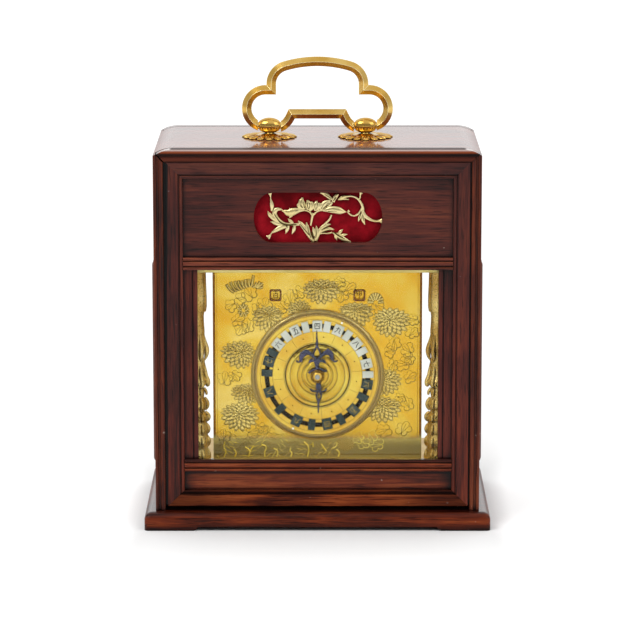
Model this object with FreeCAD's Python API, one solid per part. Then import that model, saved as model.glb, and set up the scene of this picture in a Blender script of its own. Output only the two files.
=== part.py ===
import FreeCAD, Part
import math
import os

# Japanese table clock: a rosewood travelling case with a lift-out glazed front,
# a carrying handle, and a spring-driven movement with a revolving dial.
# Millimetres. The origin is the middle of the base's underside, +X is to the
# viewer's right, the front faces -Y and +Z is up.

# Base board
BASE_OVER = 5.0
BASE_H = 8.2
BASE_NOSE = 3.4
BASE_CORNER = 2.0
FOOT_L = 24.0
FOOT_H = 1.7
FOOT_RAMP = 2.7
FOOT_RAMP_SAG = 0.3

# Case carcase
CASE_W = 146.0
CASE_D = 85.4
CASE_H = 164.2
POST_T = 9.4
POST_D = 16.0
LIP_W = 4.5
LIP_OUTER_BEAD = 1.5
LIP_GROOVE = 1.0
BEAD_RISE = 0.5
GROOVE_DEPTH = 0.9
TOP_T = 6.4
TOP_ROLL = 2.6
TOP_ROLL_W = 8.7
MOULDING_H = 5.6
MITRE_GAP = 0.5
SIDE_BOARD_T = 6.4
SIDE_WINDOW_LOW = 22.3
SIDE_WINDOW_H = 87.0
WINDOW_MOULD_W = 4.5
WINDOW_MOULD_RISE = 1.4
WINDOW_MOULD_LAP = 1.7
PANE_T = 1.6
SILL_H = 6.0
SILL_D = 5.0

# Lift-out front and back panels
PANEL_T = 6.7
PANEL_GAP = 1.0
PANEL_SHIFT = 0.3
PANEL_LIFT_GAP = 2.1
PANEL_PLAY = 0.3
FRAME_W = 7.3
FRAME_BEAD = 1.5
FRAME_GROOVE = 0.6
FRAME_GROOVE_DEPTH = 0.6
RABBET_W = 3.0
FACE_T = 2.5
BOARD_T = 2.2
TONGUE_T = 2.0
TONGUE_L = 2.1
TONGUE_BACK = 2.3
TONGUE_PLAY = 0.15
CROSS_H = 5.6
CROSS_BEAD = 1.3
CROSS_GROOVE = 0.5
CROSS_WEB = 1.6
UPPER_PANEL_H = 35.5
LOWER_PANEL_H = 8.6
FILLET_W = 6.3
FILLET_T = 1.3
FILLET_LINE_IN = 1.9
APERTURE_W = 57.2
APERTURE_H = 22.5
APERTURE_END = 8.2
FRET_T = 0.7
FRET_RIM = 2.0
SILK_T = 0.8

# Carrying handle and its fittings on the top board
HANDLE_PITCH = 43.6
PIVOT_RISE = 5.3
HANDLE_HALF = 2.2
JOURNAL_R = 1.6
RUNNING_FIT = 0.05
END_SHAKE = 0.3
KNOB_L = 10.0
KNOB_R = 3.25
KNOB_END_R = 2.5
KNOB_PLAY = 0.2
LOBE_R = 8.5
LOBE_OUT = 1.8
CUSP_RUN = 2.65
ARCH_END_R = 8.5
ARCH_RISE = 10.3
LOWER_BAR_RISE = 5.3
LOWER_BAR_W = 23.3
HEEL_SLOPE = 64.0
HEEL_RUN = 1.8
HEEL_R = 9.5
POST_STEM_R = 2.2
CLENCH_L = 8.0
CLENCH_T = 1.2
ROSETTE_R = 12.7
ROSETTE_PETALS = 16
ROSETTE_NOTCH = 1.7
ROSETTE_H = 2.0
ROSETTE_EDGE = 0.7
ROSETTE_BOSS_R = 4.4

# Movement frame
SEAT_H = 14.9
SEAT_W = 9.0
SEAT_X = 40.0
SEAT_CLEAR = 3.2
FRAME_CLEAR = 2.4
FRAME_REAR = 28.5
FRAME_PLATE_T = 2.4
CEILING_DROP = 3.5
COLUMN_INSET = 6.7
COLUMN_FRONT = 6.5
COLUMN_AHEAD = 3.0
COLUMN_TOP_R = 4.1
COLUMN_NECK_R = 3.4
COLUMN_COLLAR_H = 18.8
COLUMN_SHAFT_H = 10.3
REAR_COLUMN_R = 2.8
REAR_COLUMN_INSET = 3.6
PLATE_Y = -19.0
COLUMN_GAP = 7.0
FRONT_PLATE_T = 1.5
TRAIN_PLATE_W = 89.0
TRAIN_PLATE_T = 2.0
TRAIN_FRONT_Y = -8.0
TRAIN_BACK_Y = 24.0
FIT = 0.05

# Cast swellings of a front column from its foot up: height, neck radius, widest radius
COLUMN_SWELLS = (
    (7.5, 4.4, 5.8),
    (6.0, 4.2, 5.4),
    (5.9, 4.2, 5.2),
    (4.8, 3.6, 5.5),
    (6.8, 2.9, 4.7),
    (4.2, 2.9, 3.4),
    (6.3, 2.9, 5.2),
    (9.3, 2.9, 3.8),
    (9.5, 2.9, 3.9),
)

# Dial and hand
DIAL_UP = 40.6
DIAL_R = 27.9
DIAL_T = 1.4
DIAL_CLEAR = 0.6
DISH_R = 14.5
DISH_DEPTH = 0.6
DISH_EDGE = 2.6
DISH_BOSS_R = 6.5
DISH_BOSS_EDGE = 2.0
DISH_SWEEP = 0.8
SLOT_IN_R = 22.0
SLOT_OUT_R = 24.0
SLOT_DEPTH = 0.6
BEZEL_GAP = 0.3
BEZEL_W = 2.1
BEZEL_RISE = 2.2
PLAQUE_IN_R = 20.5
PLAQUE_OUT_R = 25.5
PLAQUE_T = 0.8
HOUR_PLAQUE_W = 4.4
HALF_PLAQUE_W = 3.1
DIAL_PIN_R = 0.5
DIAL_PIN_RISE = 1.2
DIAL_PIN_AT = 26.9
DIAL_PIN_ANGLE = 24.4
TUBE_R = 4.0
TUBE_CLEAR = 0.6
STUD_R = 2.0
STUD_PIN_R = 1.1
HAND_CLEAR = 1.1
HAND_T = 0.7
HAND_UP = 21.2
HAND_TAIL = 17.0
HAND_HUB_R = 3.0
HAND_POINT_W = 0.3
NEEDLE_W = 1.4
NEEDLE_FROM = 12.4
TAIL_W = 1.1
TAIL_FROM = 10.4
STALK_W = 2.0
STALK_UP = 7.6
STALK_DOWN = 6.6
COLLET_R = 3.1
COLLET_T = 0.8
STUD_TIP = 1.0
CALENDAR_X = 19.0
CALENDAR_DOWN = 12.1
CALENDAR_WINDOW = 4.2
CALENDAR_R = 13.5
CALENDAR_T = 0.8
CALENDAR_DROP = 10.5
CALENDAR_CLEAR = 0.3
CALENDAR_STUD_R = 1.5
CALENDAR_NOTCH_R = 0.8
STEM_SIGNS = 10
BRANCH_SIGNS = 12

# The plaques' places: clockwise degrees from the top, hour plaques first in each pair
DAY_ANGLES = (309.1, 322.2, 334.2, 346.4, 359.9, 10.9, 24.2, 36.2, 49.9, 61.1, 76.2, 88.8)
NIGHT_ANGLES = (100.2, 115.8, 134.5, 152.4, 168.8, 186.5, 204.2, 227.4, 250.7, 273.1, 286.5, 297.4)

# Wheel trains
GREAT_MODULE = 0.8
GREAT_TEETH = 48
GREAT_WHEEL_T = 2.5
DIAL_TEETH = 48
DIAL_PINION_TEETH = 16
SECOND_PINION_TEETH = 12
FINE_MODULE = 0.7
SECOND_TEETH = 40
SECOND_WHEEL_T = 1.5
LAST_PINION_TEETH = 10
PINION_EXTRA = 1.0
BACKLASH = 0.2
ADDENDUM = 0.65
DEDENDUM = 1.1
PRESSURE_ANGLE = 20.0
BARREL_ANGLE = 35.0
SECOND_ANGLE = 78.0
LAST_ANGLE = 125.0
BARREL_R = 16.0
BARREL_L = 14.0
BARREL_Y = -4.0
ARBOR_R = 2.5
PIVOT_R = 1.8
FINE_ARBOR_R = 1.5
FINE_PIVOT_R = 1.0
DIAL_WHEEL_Y = -15.0
DIAL_WHEEL_T = 2.0
SECOND_WHEEL_Y = 16.0
WHEEL_RIM = 2.2
WHEEL_HUB_R = 4.0
WHEEL_ARM_W = 2.0
WHEEL_ARMS = 4
WINDING_SQUARE = 3.0
WINDING_SQUARE_L = 4.0
COUNT_WHEEL_R = 15.0
COUNT_WHEEL_T = 1.5
COUNT_NOTCH_DEPTH = 2.0
COUNT_NOTCH_W = 2.0
COUNT_CLEAR = 0.6
COUNT_NOTCH_ANGLES = (0.0, 30.0, 64.0, 102.0, 144.0, 190.0, 240.0, 295.0)
CROWN_R = 9.0
CROWN_WALL = 1.4
CROWN_TEETH = 15
CROWN_TOOTH_H = 2.6
CROWN_BAND = 5.5
CROWN_GAP = 0.96
CROWN_RAKE = 0.40
CROWN_Y = 3.0
COCK_Y = 11.0
COCK_T = 1.5
COCK_W = 14.0
COCK_DROP = 8.0
COCK_FOOT_L = 6.0
VERGE_R = 1.0
VERGE_PIVOT_R = 0.6
PALLET_L = 3.0
PALLET_W = 2.2
PALLET_T = 0.6
PALLET_CLEAR = 0.4
PALLET_ANGLE = 50.0
VERGE_FOOT_CLEAR = 2.0
VERGE_FOOT_H = 2.5
VERGE_FOOT_W = 4.0
BALANCE_R = 14.0
BALANCE_RIM = 2.2
BALANCE_T = 2.0
BALANCE_RISE = 3.0
BALANCE_ARMS = 3
FLY_L = 18.0
FLY_W = 12.0
FLY_T = 0.8
FLY_Y = -3.0
LIFTING_PINS = 8
LIFTING_PIN_AT = 11.0
LIFTING_PIN_R = 0.7
LIFTING_PIN_L = 2.6
BELL_X = -8.0
BELL_Y = 8.0
BELL_R = 26.0
BELL_H = 20.0
BELL_T = 1.6
BELL_FLARE = 0.6
BELL_FLARE_UP = 0.30
BELL_SHOULDER = 0.80
BELL_SHOULDER_UP = 0.75
BELL_CROWN = 0.55
BELL_CROWN_UP = 0.93
BELL_RISE = 9.0
BELL_STAND_R = 2.6
BELL_STUD_R = 2.0
BELL_NUT_R = 3.6
BELL_NUT_H = 3.0
HAMMER_X = -41.5
HAMMER_DOWN = 11.0
HAMMER_GAP = 1.0
HAMMER_HEAD_L = 7.0
HAMMER_HEAD_R = 2.4
HAMMER_HEAD_UP = 4.0
HAMMER_ARM_R = 1.0
HAMMER_TAIL_X = 7.5
HAMMER_TAIL_DROP = 18.0
HAMMER_TAIL_T = 1.6
HAMMER_SLOT_W = 12.0
HAMMER_SLOT_D = 6.0

# Places worked out from the sizes above
case_x = CASE_W / 2
case_y = CASE_D / 2
base_x = case_x + BASE_OVER
base_y = case_y + BASE_OVER
case_top = BASE_H + CASE_H
board_under = case_top - TOP_T
moulding_low = case_top - MOULDING_H
lip_x = case_x - LIP_W
post_in = case_x - POST_T
panel_back = -case_y + PANEL_T
panel_x = lip_x - PANEL_GAP
panel_low = BASE_H + PANEL_LIFT_GAP
sight_x = panel_x - FRAME_W
rabbet_x = sight_x + RABBET_W - TONGUE_PLAY
post_back = -case_y + POST_D
face_y = -case_y + FACE_T
lower_cross_low = panel_low + FRAME_W + LOWER_PANEL_H
upper_cross_high = moulding_low - FRAME_W - UPPER_PANEL_H
upper_cross_low = upper_cross_high - CROSS_H
web_up = (CROSS_H - CROSS_WEB) / 2
aperture_z = upper_cross_high + UPPER_PANEL_H / 2
pivot_z = case_top + PIVOT_RISE
handle_x = HANDLE_PITCH / 2
seat_top = BASE_H + SEAT_H
seat_y = -panel_back - PANEL_PLAY - SILL_D - SEAT_CLEAR
frame_floor = seat_top + FRAME_PLATE_T
frame_ceiling = upper_cross_low - CEILING_DROP
column_h = frame_ceiling - frame_floor
frame_top = frame_ceiling + FRAME_PLATE_T
frame_x = post_in - FRAME_CLEAR
column_x = frame_x - COLUMN_INSET
plate_x = column_x - COLUMN_GAP
plate_back = PLATE_Y + FRONT_PLATE_T
column_y = PLATE_Y - COLUMN_AHEAD
frame_front = column_y - COLUMN_FRONT
rear_column_x = frame_x - REAR_COLUMN_INSET
rear_column_y = FRAME_REAR - COLUMN_FRONT
dial_z = frame_floor + DIAL_UP
dial_back = PLATE_Y - DIAL_CLEAR
dial_face = dial_back - DIAL_T
plaque_face = dial_face - PLAQUE_T
hand_back = plaque_face - HAND_CLEAR
hand_face = hand_back - HAND_T
collet_face = hand_face - COLLET_T
calendar_z = frame_ceiling - CALENDAR_DOWN
calendar_axis_z = calendar_z - CALENDAR_DROP
train_front_back = TRAIN_FRONT_Y + TRAIN_PLATE_T
train_back_back = TRAIN_BACK_Y + TRAIN_PLATE_T
barrel_reach = GREAT_MODULE * (DIAL_TEETH + DIAL_PINION_TEETH) / 2
barrel_x = barrel_reach * math.cos(math.radians(BARREL_ANGLE))
barrel_z = dial_z - barrel_reach * math.sin(math.radians(BARREL_ANGLE))
great_y = BARREL_Y + BARREL_L
second_reach = GREAT_MODULE * (GREAT_TEETH + SECOND_PINION_TEETH) / 2
second_x = barrel_x + second_reach * math.cos(math.radians(SECOND_ANGLE))
second_z = barrel_z + second_reach * math.sin(math.radians(SECOND_ANGLE))
last_reach = FINE_MODULE * (SECOND_TEETH + LAST_PINION_TEETH) / 2
last_x = second_x + last_reach * math.cos(math.radians(LAST_ANGLE))
last_z = second_z + last_reach * math.sin(math.radians(LAST_ANGLE))
verge_y = CROWN_Y - PALLET_L - PALLET_CLEAR
verge_foot_top = last_z - CROWN_R - VERGE_FOOT_CLEAR
balance_z = frame_top + BALANCE_RISE
bell_rim_z = frame_top + BELL_RISE
hammer_z = frame_ceiling - HAMMER_DOWN
hammer_head_z = bell_rim_z + HAMMER_HEAD_UP


def V(x, y, z):
    return FreeCAD.Vector(x, y, z)


X_AXIS = V(1, 0, 0)
Y_AXIS = V(0, 1, 0)
Z_AXIS = V(0, 0, 1)
CENTRE = V(0, 0, 0)
BEYOND = 400.0
OVER = 1.0  # how far a cutter runs past the piece it cuts


def save(name, *solids):
    shape = solids[0] if len(solids) == 1 else Part.makeCompound(list(solids))
    shape.exportStep("parts/" + name + ".step")


def box(x0, x1, y0, y1, z0, z1):
    return Part.makeBox(x1 - x0, y1 - y0, z1 - z0, V(x0, y0, z0))


def rod_x(x0, x1, y, z, r):
    return Part.makeCylinder(r, x1 - x0, V(x0, y, z), X_AXIS)


def rod_y(y0, y1, x, z, r):
    return Part.makeCylinder(r, y1 - y0, V(x, y0, z), Y_AXIS)


def rod_z(z0, z1, x, y, r):
    return Part.makeCylinder(r, z1 - z0, V(x, y, z0), Z_AXIS)


def fuse(*solids):
    joined = solids[0].multiFuse(list(solids[1:])) if len(solids) > 1 else solids[0]
    return joined.removeSplitter()


def whole(shape):
    return shape.Solids[0]


def across(shape):
    return shape.mirror(CENTRE, X_AXIS)


def turned_round(shape):
    turned = shape.copy()
    turned.rotate(CENTRE, Z_AXIS, 180)
    return turned


def spun(face, axis):
    """A turned piece: a face revolved once about an axis through the origin."""
    solid = face.revolve(CENTRE, axis, 360)
    if solid.Volume < 0:
        solid.reverse()
    return solid


def on_xy(z):
    return lambda a, b: V(a, b, z)


def on_xz(y):
    return lambda a, b: V(a, y, b)


def on_yz(x):
    return lambda a, b: V(x, a, b)


def path_edges(place, start, *steps):
    """Edges from a start point and steps: a point is a line, (mid, end) is an arc. Also the last point."""
    edges = []
    here = start
    for step in steps:
        if isinstance(step[0], tuple):
            middle, there = step
            edges.append(Part.Arc(place(*here), place(*middle), place(*there)).toShape())
        else:
            there = step
            edges.append(Part.LineSegment(place(*here), place(*there)).toShape())
        here = there
    return edges, here


def outline(place, start, *steps):
    """A closed face from a start point and steps, as path_edges takes them."""
    edges, end = path_edges(place, start, *steps)
    if math.dist(end, start) > 1e-6:
        edges.append(Part.LineSegment(place(*end), place(*start)).toShape())
    return Part.Face(Part.Wire(edges))


def bead(u0, u1, foot, crown):
    """One half-round bead across u0 to u1, as an arc step of an outline."""
    return (((u0 + u1) / 2, crown), (u1, foot))


# Base board: one plank with a rounded edge, hollowed between four corner feet
def base_plinth():
    plank = box(-base_x, base_x, -base_y, base_y, 0, BASE_H)
    upright = [e for e in plank.Edges if abs(e.tangentAt(e.FirstParameter).z) > 0.9]
    plank = plank.makeFillet(BASE_CORNER, upright)
    rim = [e for e in plank.Edges if abs(e.CenterOfMass.z - BASE_H) < 1e-6]
    plank = plank.makeFillet(BASE_NOSE, rim)

    def hollow(half_length, reach, place_for):
        toe = half_length + FOOT_RAMP
        sag = half_length + FOOT_RAMP * FOOT_RAMP_SAG
        sag_h = FOOT_H * FOOT_RAMP_SAG
        return outline(
            place_for(-reach),
            (-toe, -OVER),
            (-toe, 0.0),
            ((-sag, sag_h), (-half_length, FOOT_H)),
            (half_length, FOOT_H),
            ((sag, sag_h), (toe, 0.0)),
            (toe, -OVER),
        )

    along = hollow(base_x - FOOT_L, 2 * base_y, on_xz).extrude(V(0, 4 * base_y, 0))
    through = hollow(base_y - FOOT_L, 2 * base_x, on_yz).extrude(V(4 * base_x, 0, 0))
    return whole(plank.cut(along).cut(through))


# Case posts: beaded front lip with the groove that guides the panel's tongue
def lip_steps():
    """Steps across the beaded lip from its inner edge to the case's outer face, as (u, depth)."""
    inner_bead = LIP_W - LIP_GROOVE - LIP_OUTER_BEAD
    return (
        bead(0.0, inner_bead, BEAD_RISE, 0.0),
        (inner_bead, GROOVE_DEPTH),
        (inner_bead + LIP_GROOVE, GROOVE_DEPTH),
        (inner_bead + LIP_GROOVE, BEAD_RISE),
        bead(inner_bead + LIP_GROOVE, LIP_W, BEAD_RISE, 0.0),
    )


def rolled_section(place, low):
    """The top's cross section: flat, with both ends rolled down."""
    flat = case_x - TOP_ROLL_W
    end_z = case_top - TOP_ROLL
    radius = (TOP_ROLL_W ** 2 + TOP_ROLL ** 2) / (2 * TOP_ROLL)
    half = math.atan2(TOP_ROLL_W, radius - TOP_ROLL) / 2
    mid_x = flat + radius * math.sin(half)
    mid_z = case_top - radius + radius * math.cos(half)
    return outline(
        place,
        (-case_x, low),
        (case_x, low),
        (case_x, end_z),
        ((mid_x, mid_z), (flat, case_top)),
        (-flat, case_top),
        ((-mid_x, mid_z), (-case_x, end_z)),
    )


def front_right_post():
    groove_y = -case_y + TONGUE_BACK - TONGUE_PLAY
    groove_w = TONGUE_T + 2 * TONGUE_PLAY
    groove_x = panel_x + PANEL_SHIFT + TONGUE_L + TONGUE_PLAY
    seat_y = panel_back + PANEL_PLAY
    section = outline(
        lambda u, d: V(lip_x + u, -case_y + d, BASE_H),
        (0.0, BEAD_RISE),
        *lip_steps(),
        (LIP_W, POST_D),
        (LIP_W - POST_T, POST_D),
        (LIP_W - POST_T, PANEL_T + PANEL_PLAY),
        (0.0, PANEL_T + PANEL_PLAY),
    )
    post = section.extrude(V(0, 0, case_top - BASE_H))
    post = post.cut(box(0, groove_x, groove_y, groove_y + groove_w, panel_low, BEYOND))
    post = post.cut(box(0, BEYOND, seat_y, 0, board_under, BEYOND))
    mitre = outline(
        on_xz(-case_y - OVER),
        (lip_x - OVER, moulding_low - OVER),
        (lip_x + BEYOND, moulding_low + BEYOND),
        (lip_x - OVER, moulding_low + BEYOND),
    )
    post = post.cut(mitre.extrude(V(0, CASE_D, 0)))
    roll = rolled_section(on_xz(-case_y - OVER), 0.0).extrude(V(0, CASE_D, 0))
    return whole(post.common(roll))


# Sides: a deep upper board and a lower rail on each side, with a moulded, glazed window
def side_boards():
    low = BASE_H + SIDE_WINDOW_LOW
    high = low + SIDE_WINDOW_H
    inner = case_x - SIDE_BOARD_T
    upper = box(inner, case_x, post_back, -post_back, high, board_under)
    lower = box(inner, case_x, post_back, -post_back, BASE_H, low)
    return [upper, lower, across(upper), across(lower)]


def side_window_mouldings():
    low = BASE_H + SIDE_WINDOW_LOW + WINDOW_MOULD_LAP
    high = low + SIDE_WINDOW_H - 2 * WINDOW_MOULD_LAP
    edge = -post_back - WINDOW_MOULD_LAP
    crown = WINDOW_MOULD_W / 2
    upright_face = outline(
        lambda u, d: V(case_x + d, edge + u, low - WINDOW_MOULD_W),
        (0.0, 0.0),
        (WINDOW_MOULD_W, 0.0),
        ((crown, WINDOW_MOULD_RISE), (0.0, 0.0)),
    )
    level_face = outline(
        lambda u, d: V(case_x + d, -edge - 2 * edge, high + u),
        (0.0, 0.0),
        (WINDOW_MOULD_W, 0.0),
        ((crown, WINDOW_MOULD_RISE), (0.0, 0.0)),
    )
    upright = upright_face.extrude(V(0, 0, high - low + 2 * WINDOW_MOULD_W))
    level = level_face.extrude(V(0, 6 * edge, 0))
    level = whole(level.common(box(case_x, case_x + WINDOW_MOULD_RISE, -edge - WINDOW_MOULD_W,
                                   edge + WINDOW_MOULD_W, high, high + WINDOW_MOULD_W)))

    def corner_cut(y_sign, top):
        z = high if top else low
        out = 1 if top else -1
        return outline(
            lambda a, b: V(case_x - OVER, y_sign * (edge + a), z + out * b),
            (-OVER, -OVER),
            (WINDOW_MOULD_W + OVER, WINDOW_MOULD_W + OVER),
            (-OVER, WINDOW_MOULD_W + OVER),
        ).extrude(V(WINDOW_MOULD_RISE + 2 * OVER, 0, 0))

    def side_cut(y_sign):
        return outline(
            lambda a, b: V(case_x - OVER, y_sign * (edge + a), high + b),
            (-OVER, -OVER),
            (WINDOW_MOULD_W + OVER, WINDOW_MOULD_W + OVER),
            (WINDOW_MOULD_W + OVER, -OVER),
        ).extrude(V(WINDOW_MOULD_RISE + 2 * OVER, 0, 0))

    rear = whole(upright.cut(corner_cut(1, True)).cut(corner_cut(1, False)))
    front = rear.mirror(CENTRE, Y_AXIS)
    top = whole(level.cut(side_cut(1)).cut(side_cut(-1)))
    bottom = top.mirror(V(0, 0, (low + high) / 2), Z_AXIS)
    right = [rear, front, top, bottom]
    return right + [across(strip) for strip in right]


def side_panes():
    low = BASE_H + SIDE_WINDOW_LOW + FIT
    high = low + SIDE_WINDOW_H - 2 * FIT
    pane = box(case_x - PANE_T, case_x, post_back + FIT, -post_back - FIT, low, high)
    return [pane, across(pane)]


def top_board():
    reach = -panel_back - PANEL_PLAY
    board = rolled_section(on_xz(-reach), board_under).extrude(V(0, 2 * reach, 0))
    for side in (-1, 1):
        board = board.cut(rod_z(board_under - OVER, case_top + OVER, side * handle_x, 0, POST_STEM_R + FIT))
    return whole(board)


def sills():
    front_y = panel_back + PANEL_PLAY
    sill = box(-post_in, post_in, front_y, front_y + SILL_D, BASE_H, BASE_H + SILL_H)
    return [sill, turned_round(sill)]


# Lift-out panels: a mitred frame with beaded inner edge, rabbeted at the back for its fillings
def frame_steps():
    """Steps across a frame member from its outer edge to its back, as (u, depth)."""
    groove = FRAME_W - FRAME_BEAD - FRAME_GROOVE
    return (
        (groove, 0.0),
        (groove, FRAME_GROOVE_DEPTH),
        (groove + FRAME_GROOVE, FRAME_GROOVE_DEPTH),
        bead(groove + FRAME_GROOVE, FRAME_W, FRAME_GROOVE_DEPTH, 0.0),
        (FRAME_W, FACE_T),
        (FRAME_W - RABBET_W, FACE_T),
        (FRAME_W - RABBET_W, PANEL_T),
        (0.0, PANEL_T),
    )


def right_stile():
    section = outline(
        lambda u, d: V(panel_x - u, -case_y + d, panel_low),
        (0.0, 0.0),
        *frame_steps(),
    )
    stile = section.extrude(V(0, 0, moulding_low - panel_low))
    for z, up in ((panel_low, 1), (moulding_low, -1)):
        mitre = outline(
            on_xz(-case_y - OVER),
            (panel_x, z),
            (panel_x - FRAME_W, z + up * FRAME_W),
            (panel_x - FRAME_W - OVER, z + up * FRAME_W),
            (panel_x - FRAME_W - OVER, z - up * OVER),
            (panel_x, z - up * OVER),
        )
        stile = stile.cut(mitre.extrude(V(0, PANEL_T + 2 * OVER, 0)))
    tongue = box(panel_x, panel_x + TONGUE_L, -case_y + TONGUE_BACK,
                 -case_y + TONGUE_BACK + TONGUE_T, panel_low, moulding_low)
    return whole(fuse(stile, tongue))


def frame_rail(top):
    z = moulding_low if top else panel_low
    inward = -1 if top else 1
    section = outline(
        lambda u, d: V(-panel_x, -case_y + d, z + inward * u),
        (0.0, 0.0),
        *frame_steps(),
    )
    rail = section.extrude(V(2 * panel_x, 0, 0))
    trapezoid = outline(
        on_xz(-case_y - OVER),
        (-panel_x, z),
        (panel_x, z),
        (panel_x - FRAME_W, z + inward * FRAME_W),
        (-panel_x + FRAME_W, z + inward * FRAME_W),
    )
    return whole(rail.common(trapezoid.extrude(V(0, PANEL_T + 2 * OVER, 0))))


def top_moulding():
    crown = MOULDING_H - LIP_W
    section = outline(
        lambda u, d: V(-case_x, -case_y + d, moulding_low + u),
        (0.0, BEAD_RISE),
        *lip_steps(),
        (LIP_W + BEAD_RISE, GROOVE_DEPTH),
        ((LIP_W + crown * 0.8, GROOVE_DEPTH + crown * 0.3), (MOULDING_H, GROOVE_DEPTH + crown)),
        (MOULDING_H, PANEL_T),
        (0.0, PANEL_T),
    )
    moulding = section.extrude(V(2 * case_x, 0, 0))
    inner = lip_x - MITRE_GAP
    keep = outline(
        on_xz(-case_y - OVER),
        (-inner, moulding_low),
        (inner, moulding_low),
        (inner + BEYOND, moulding_low + BEYOND),
        (-inner - BEYOND, moulding_low + BEYOND),
    )
    roll = rolled_section(on_xz(-case_y - OVER), 0.0)
    moulding = moulding.common(keep.extrude(V(0, PANEL_T + 2 * OVER, 0)))
    return whole(moulding.common(roll.extrude(V(0, PANEL_T + 2 * OVER, 0))))


def cross_rail(low):
    middle = CROSS_BEAD + CROSS_GROOVE
    section = outline(
        lambda u, d: V(-sight_x, -case_y + d, low + u),
        (0.0, BEAD_RISE),
        bead(0.0, CROSS_BEAD, BEAD_RISE, 0.0),
        (CROSS_BEAD, GROOVE_DEPTH),
        (middle, GROOVE_DEPTH),
        (middle, BEAD_RISE),
        bead(middle, CROSS_H - middle, BEAD_RISE, 0.0),
        (CROSS_H - middle, GROOVE_DEPTH),
        (CROSS_H - CROSS_BEAD, GROOVE_DEPTH),
        (CROSS_H - CROSS_BEAD, BEAD_RISE),
        bead(CROSS_H - CROSS_BEAD, CROSS_H, BEAD_RISE, 0.0),
        (CROSS_H, FACE_T),
        (0.0, FACE_T),
    )
    bar = section.extrude(V(2 * sight_x, 0, 0))
    web = box(-rabbet_x, rabbet_x, face_y, panel_back, low + web_up, low + web_up + CROSS_WEB)
    return whole(fuse(bar, web))


def aperture(place, grow=0.0):
    """The panel's oval opening: straight sides with elliptical ends."""
    half_h = APERTURE_H / 2 + grow
    straight = APERTURE_W / 2 - APERTURE_END
    end = APERTURE_END + grow
    edges = [Part.LineSegment(place(-straight, half_h), place(straight, half_h)).toShape()]
    for side in (1, -1):
        middle = place(side * straight, 0)
        ellipse = Part.Ellipse(place(side * straight, side * half_h), place(side * (straight + end), 0), middle)
        first = ellipse.parameter(place(side * straight, side * half_h))
        last = ellipse.parameter(place(side * straight, -side * half_h))
        if last <= first:
            last += 2 * math.pi
        outer = Part.ArcOfEllipse(ellipse, first, last)
        reach = outer.value((first + last) / 2)
        if abs(reach.x) < straight:
            outer = Part.ArcOfEllipse(ellipse, last, first + 2 * math.pi)
        edges.append(outer.toShape())
        if side == 1:
            edges.append(Part.LineSegment(place(straight, -half_h), place(-straight, -half_h)).toShape())
    return Part.Face(Part.Wire(Part.sortEdges(edges)[0]))


def at_aperture(y):
    return lambda a, b: V(a, y, aperture_z + b)


def upper_panel():
    low = upper_cross_low + web_up + CROSS_WEB
    high = moulding_low - FRAME_W + RABBET_W - TONGUE_PLAY
    board = box(-rabbet_x, rabbet_x, face_y, face_y + BOARD_T, low, high)
    return whole(board.cut(aperture(at_aperture(face_y - OVER)).extrude(V(0, BOARD_T + 2 * OVER, 0))))


def lower_panel():
    low = panel_low + FRAME_W - RABBET_W + TONGUE_PLAY
    high = lower_cross_low + web_up
    return box(-rabbet_x, rabbet_x, face_y, face_y + BOARD_T, low, high)


def glazing_fillets():
    low = lower_cross_low + web_up + CROSS_WEB
    high = upper_cross_low + web_up
    inner = sight_x - FILLET_W
    strip = box(inner, rabbet_x, face_y, face_y + FILLET_T, low, high)
    line_x = inner + FILLET_LINE_IN
    strip = strip.cut(box(line_x, line_x + FRAME_GROOVE, face_y - OVER, face_y + FRAME_GROOVE_DEPTH, low, high))
    return [whole(strip), across(whole(strip))]


def front_pane():
    low = lower_cross_low + web_up + CROSS_WEB
    high = upper_cross_low + web_up
    return box(-rabbet_x, rabbet_x, face_y + FILLET_T, face_y + FILLET_T + PANE_T, low, high)


# Fret: sawn brass scroll of one flowering stem, on a rim behind the oval opening
def strip(place, start, middle, end, width):
    """A band of even width along the arc through three points."""
    (ax, az), (bx, bz), (cx, cz) = start, middle, end
    d = 2 * (ax * (bz - cz) + bx * (cz - az) + cx * (az - bz))
    a2, b2, c2 = ax * ax + az * az, bx * bx + bz * bz, cx * cx + cz * cz
    ox = (a2 * (bz - cz) + b2 * (cz - az) + c2 * (az - bz)) / d
    oz = (a2 * (cx - bx) + b2 * (ax - cx) + c2 * (bx - ax)) / d
    radius = math.hypot(ax - ox, az - oz)

    def off(point, step):
        k = (radius + step) / radius
        return (ox + (point[0] - ox) * k, oz + (point[1] - oz) * k)

    half = width / 2
    return outline(
        place,
        off(start, half),
        (off(middle, half), off(end, half)),
        off(end, -half),
        (off(middle, -half), off(start, -half)),
    )


def leaf(place, root, tip, width):
    """A pointed leaf: two arcs between its root and its tip."""
    mx, mz = (root[0] + tip[0]) / 2, (root[1] + tip[1]) / 2
    length = math.dist(root, tip)
    nx, nz = -(tip[1] - root[1]) / length, (tip[0] - root[0]) / length
    half = width / 2
    return outline(
        place,
        root,
        ((mx + nx * half, mz + nz * half), tip),
        ((mx - nx * half, mz - nz * half), root),
    )


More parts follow.
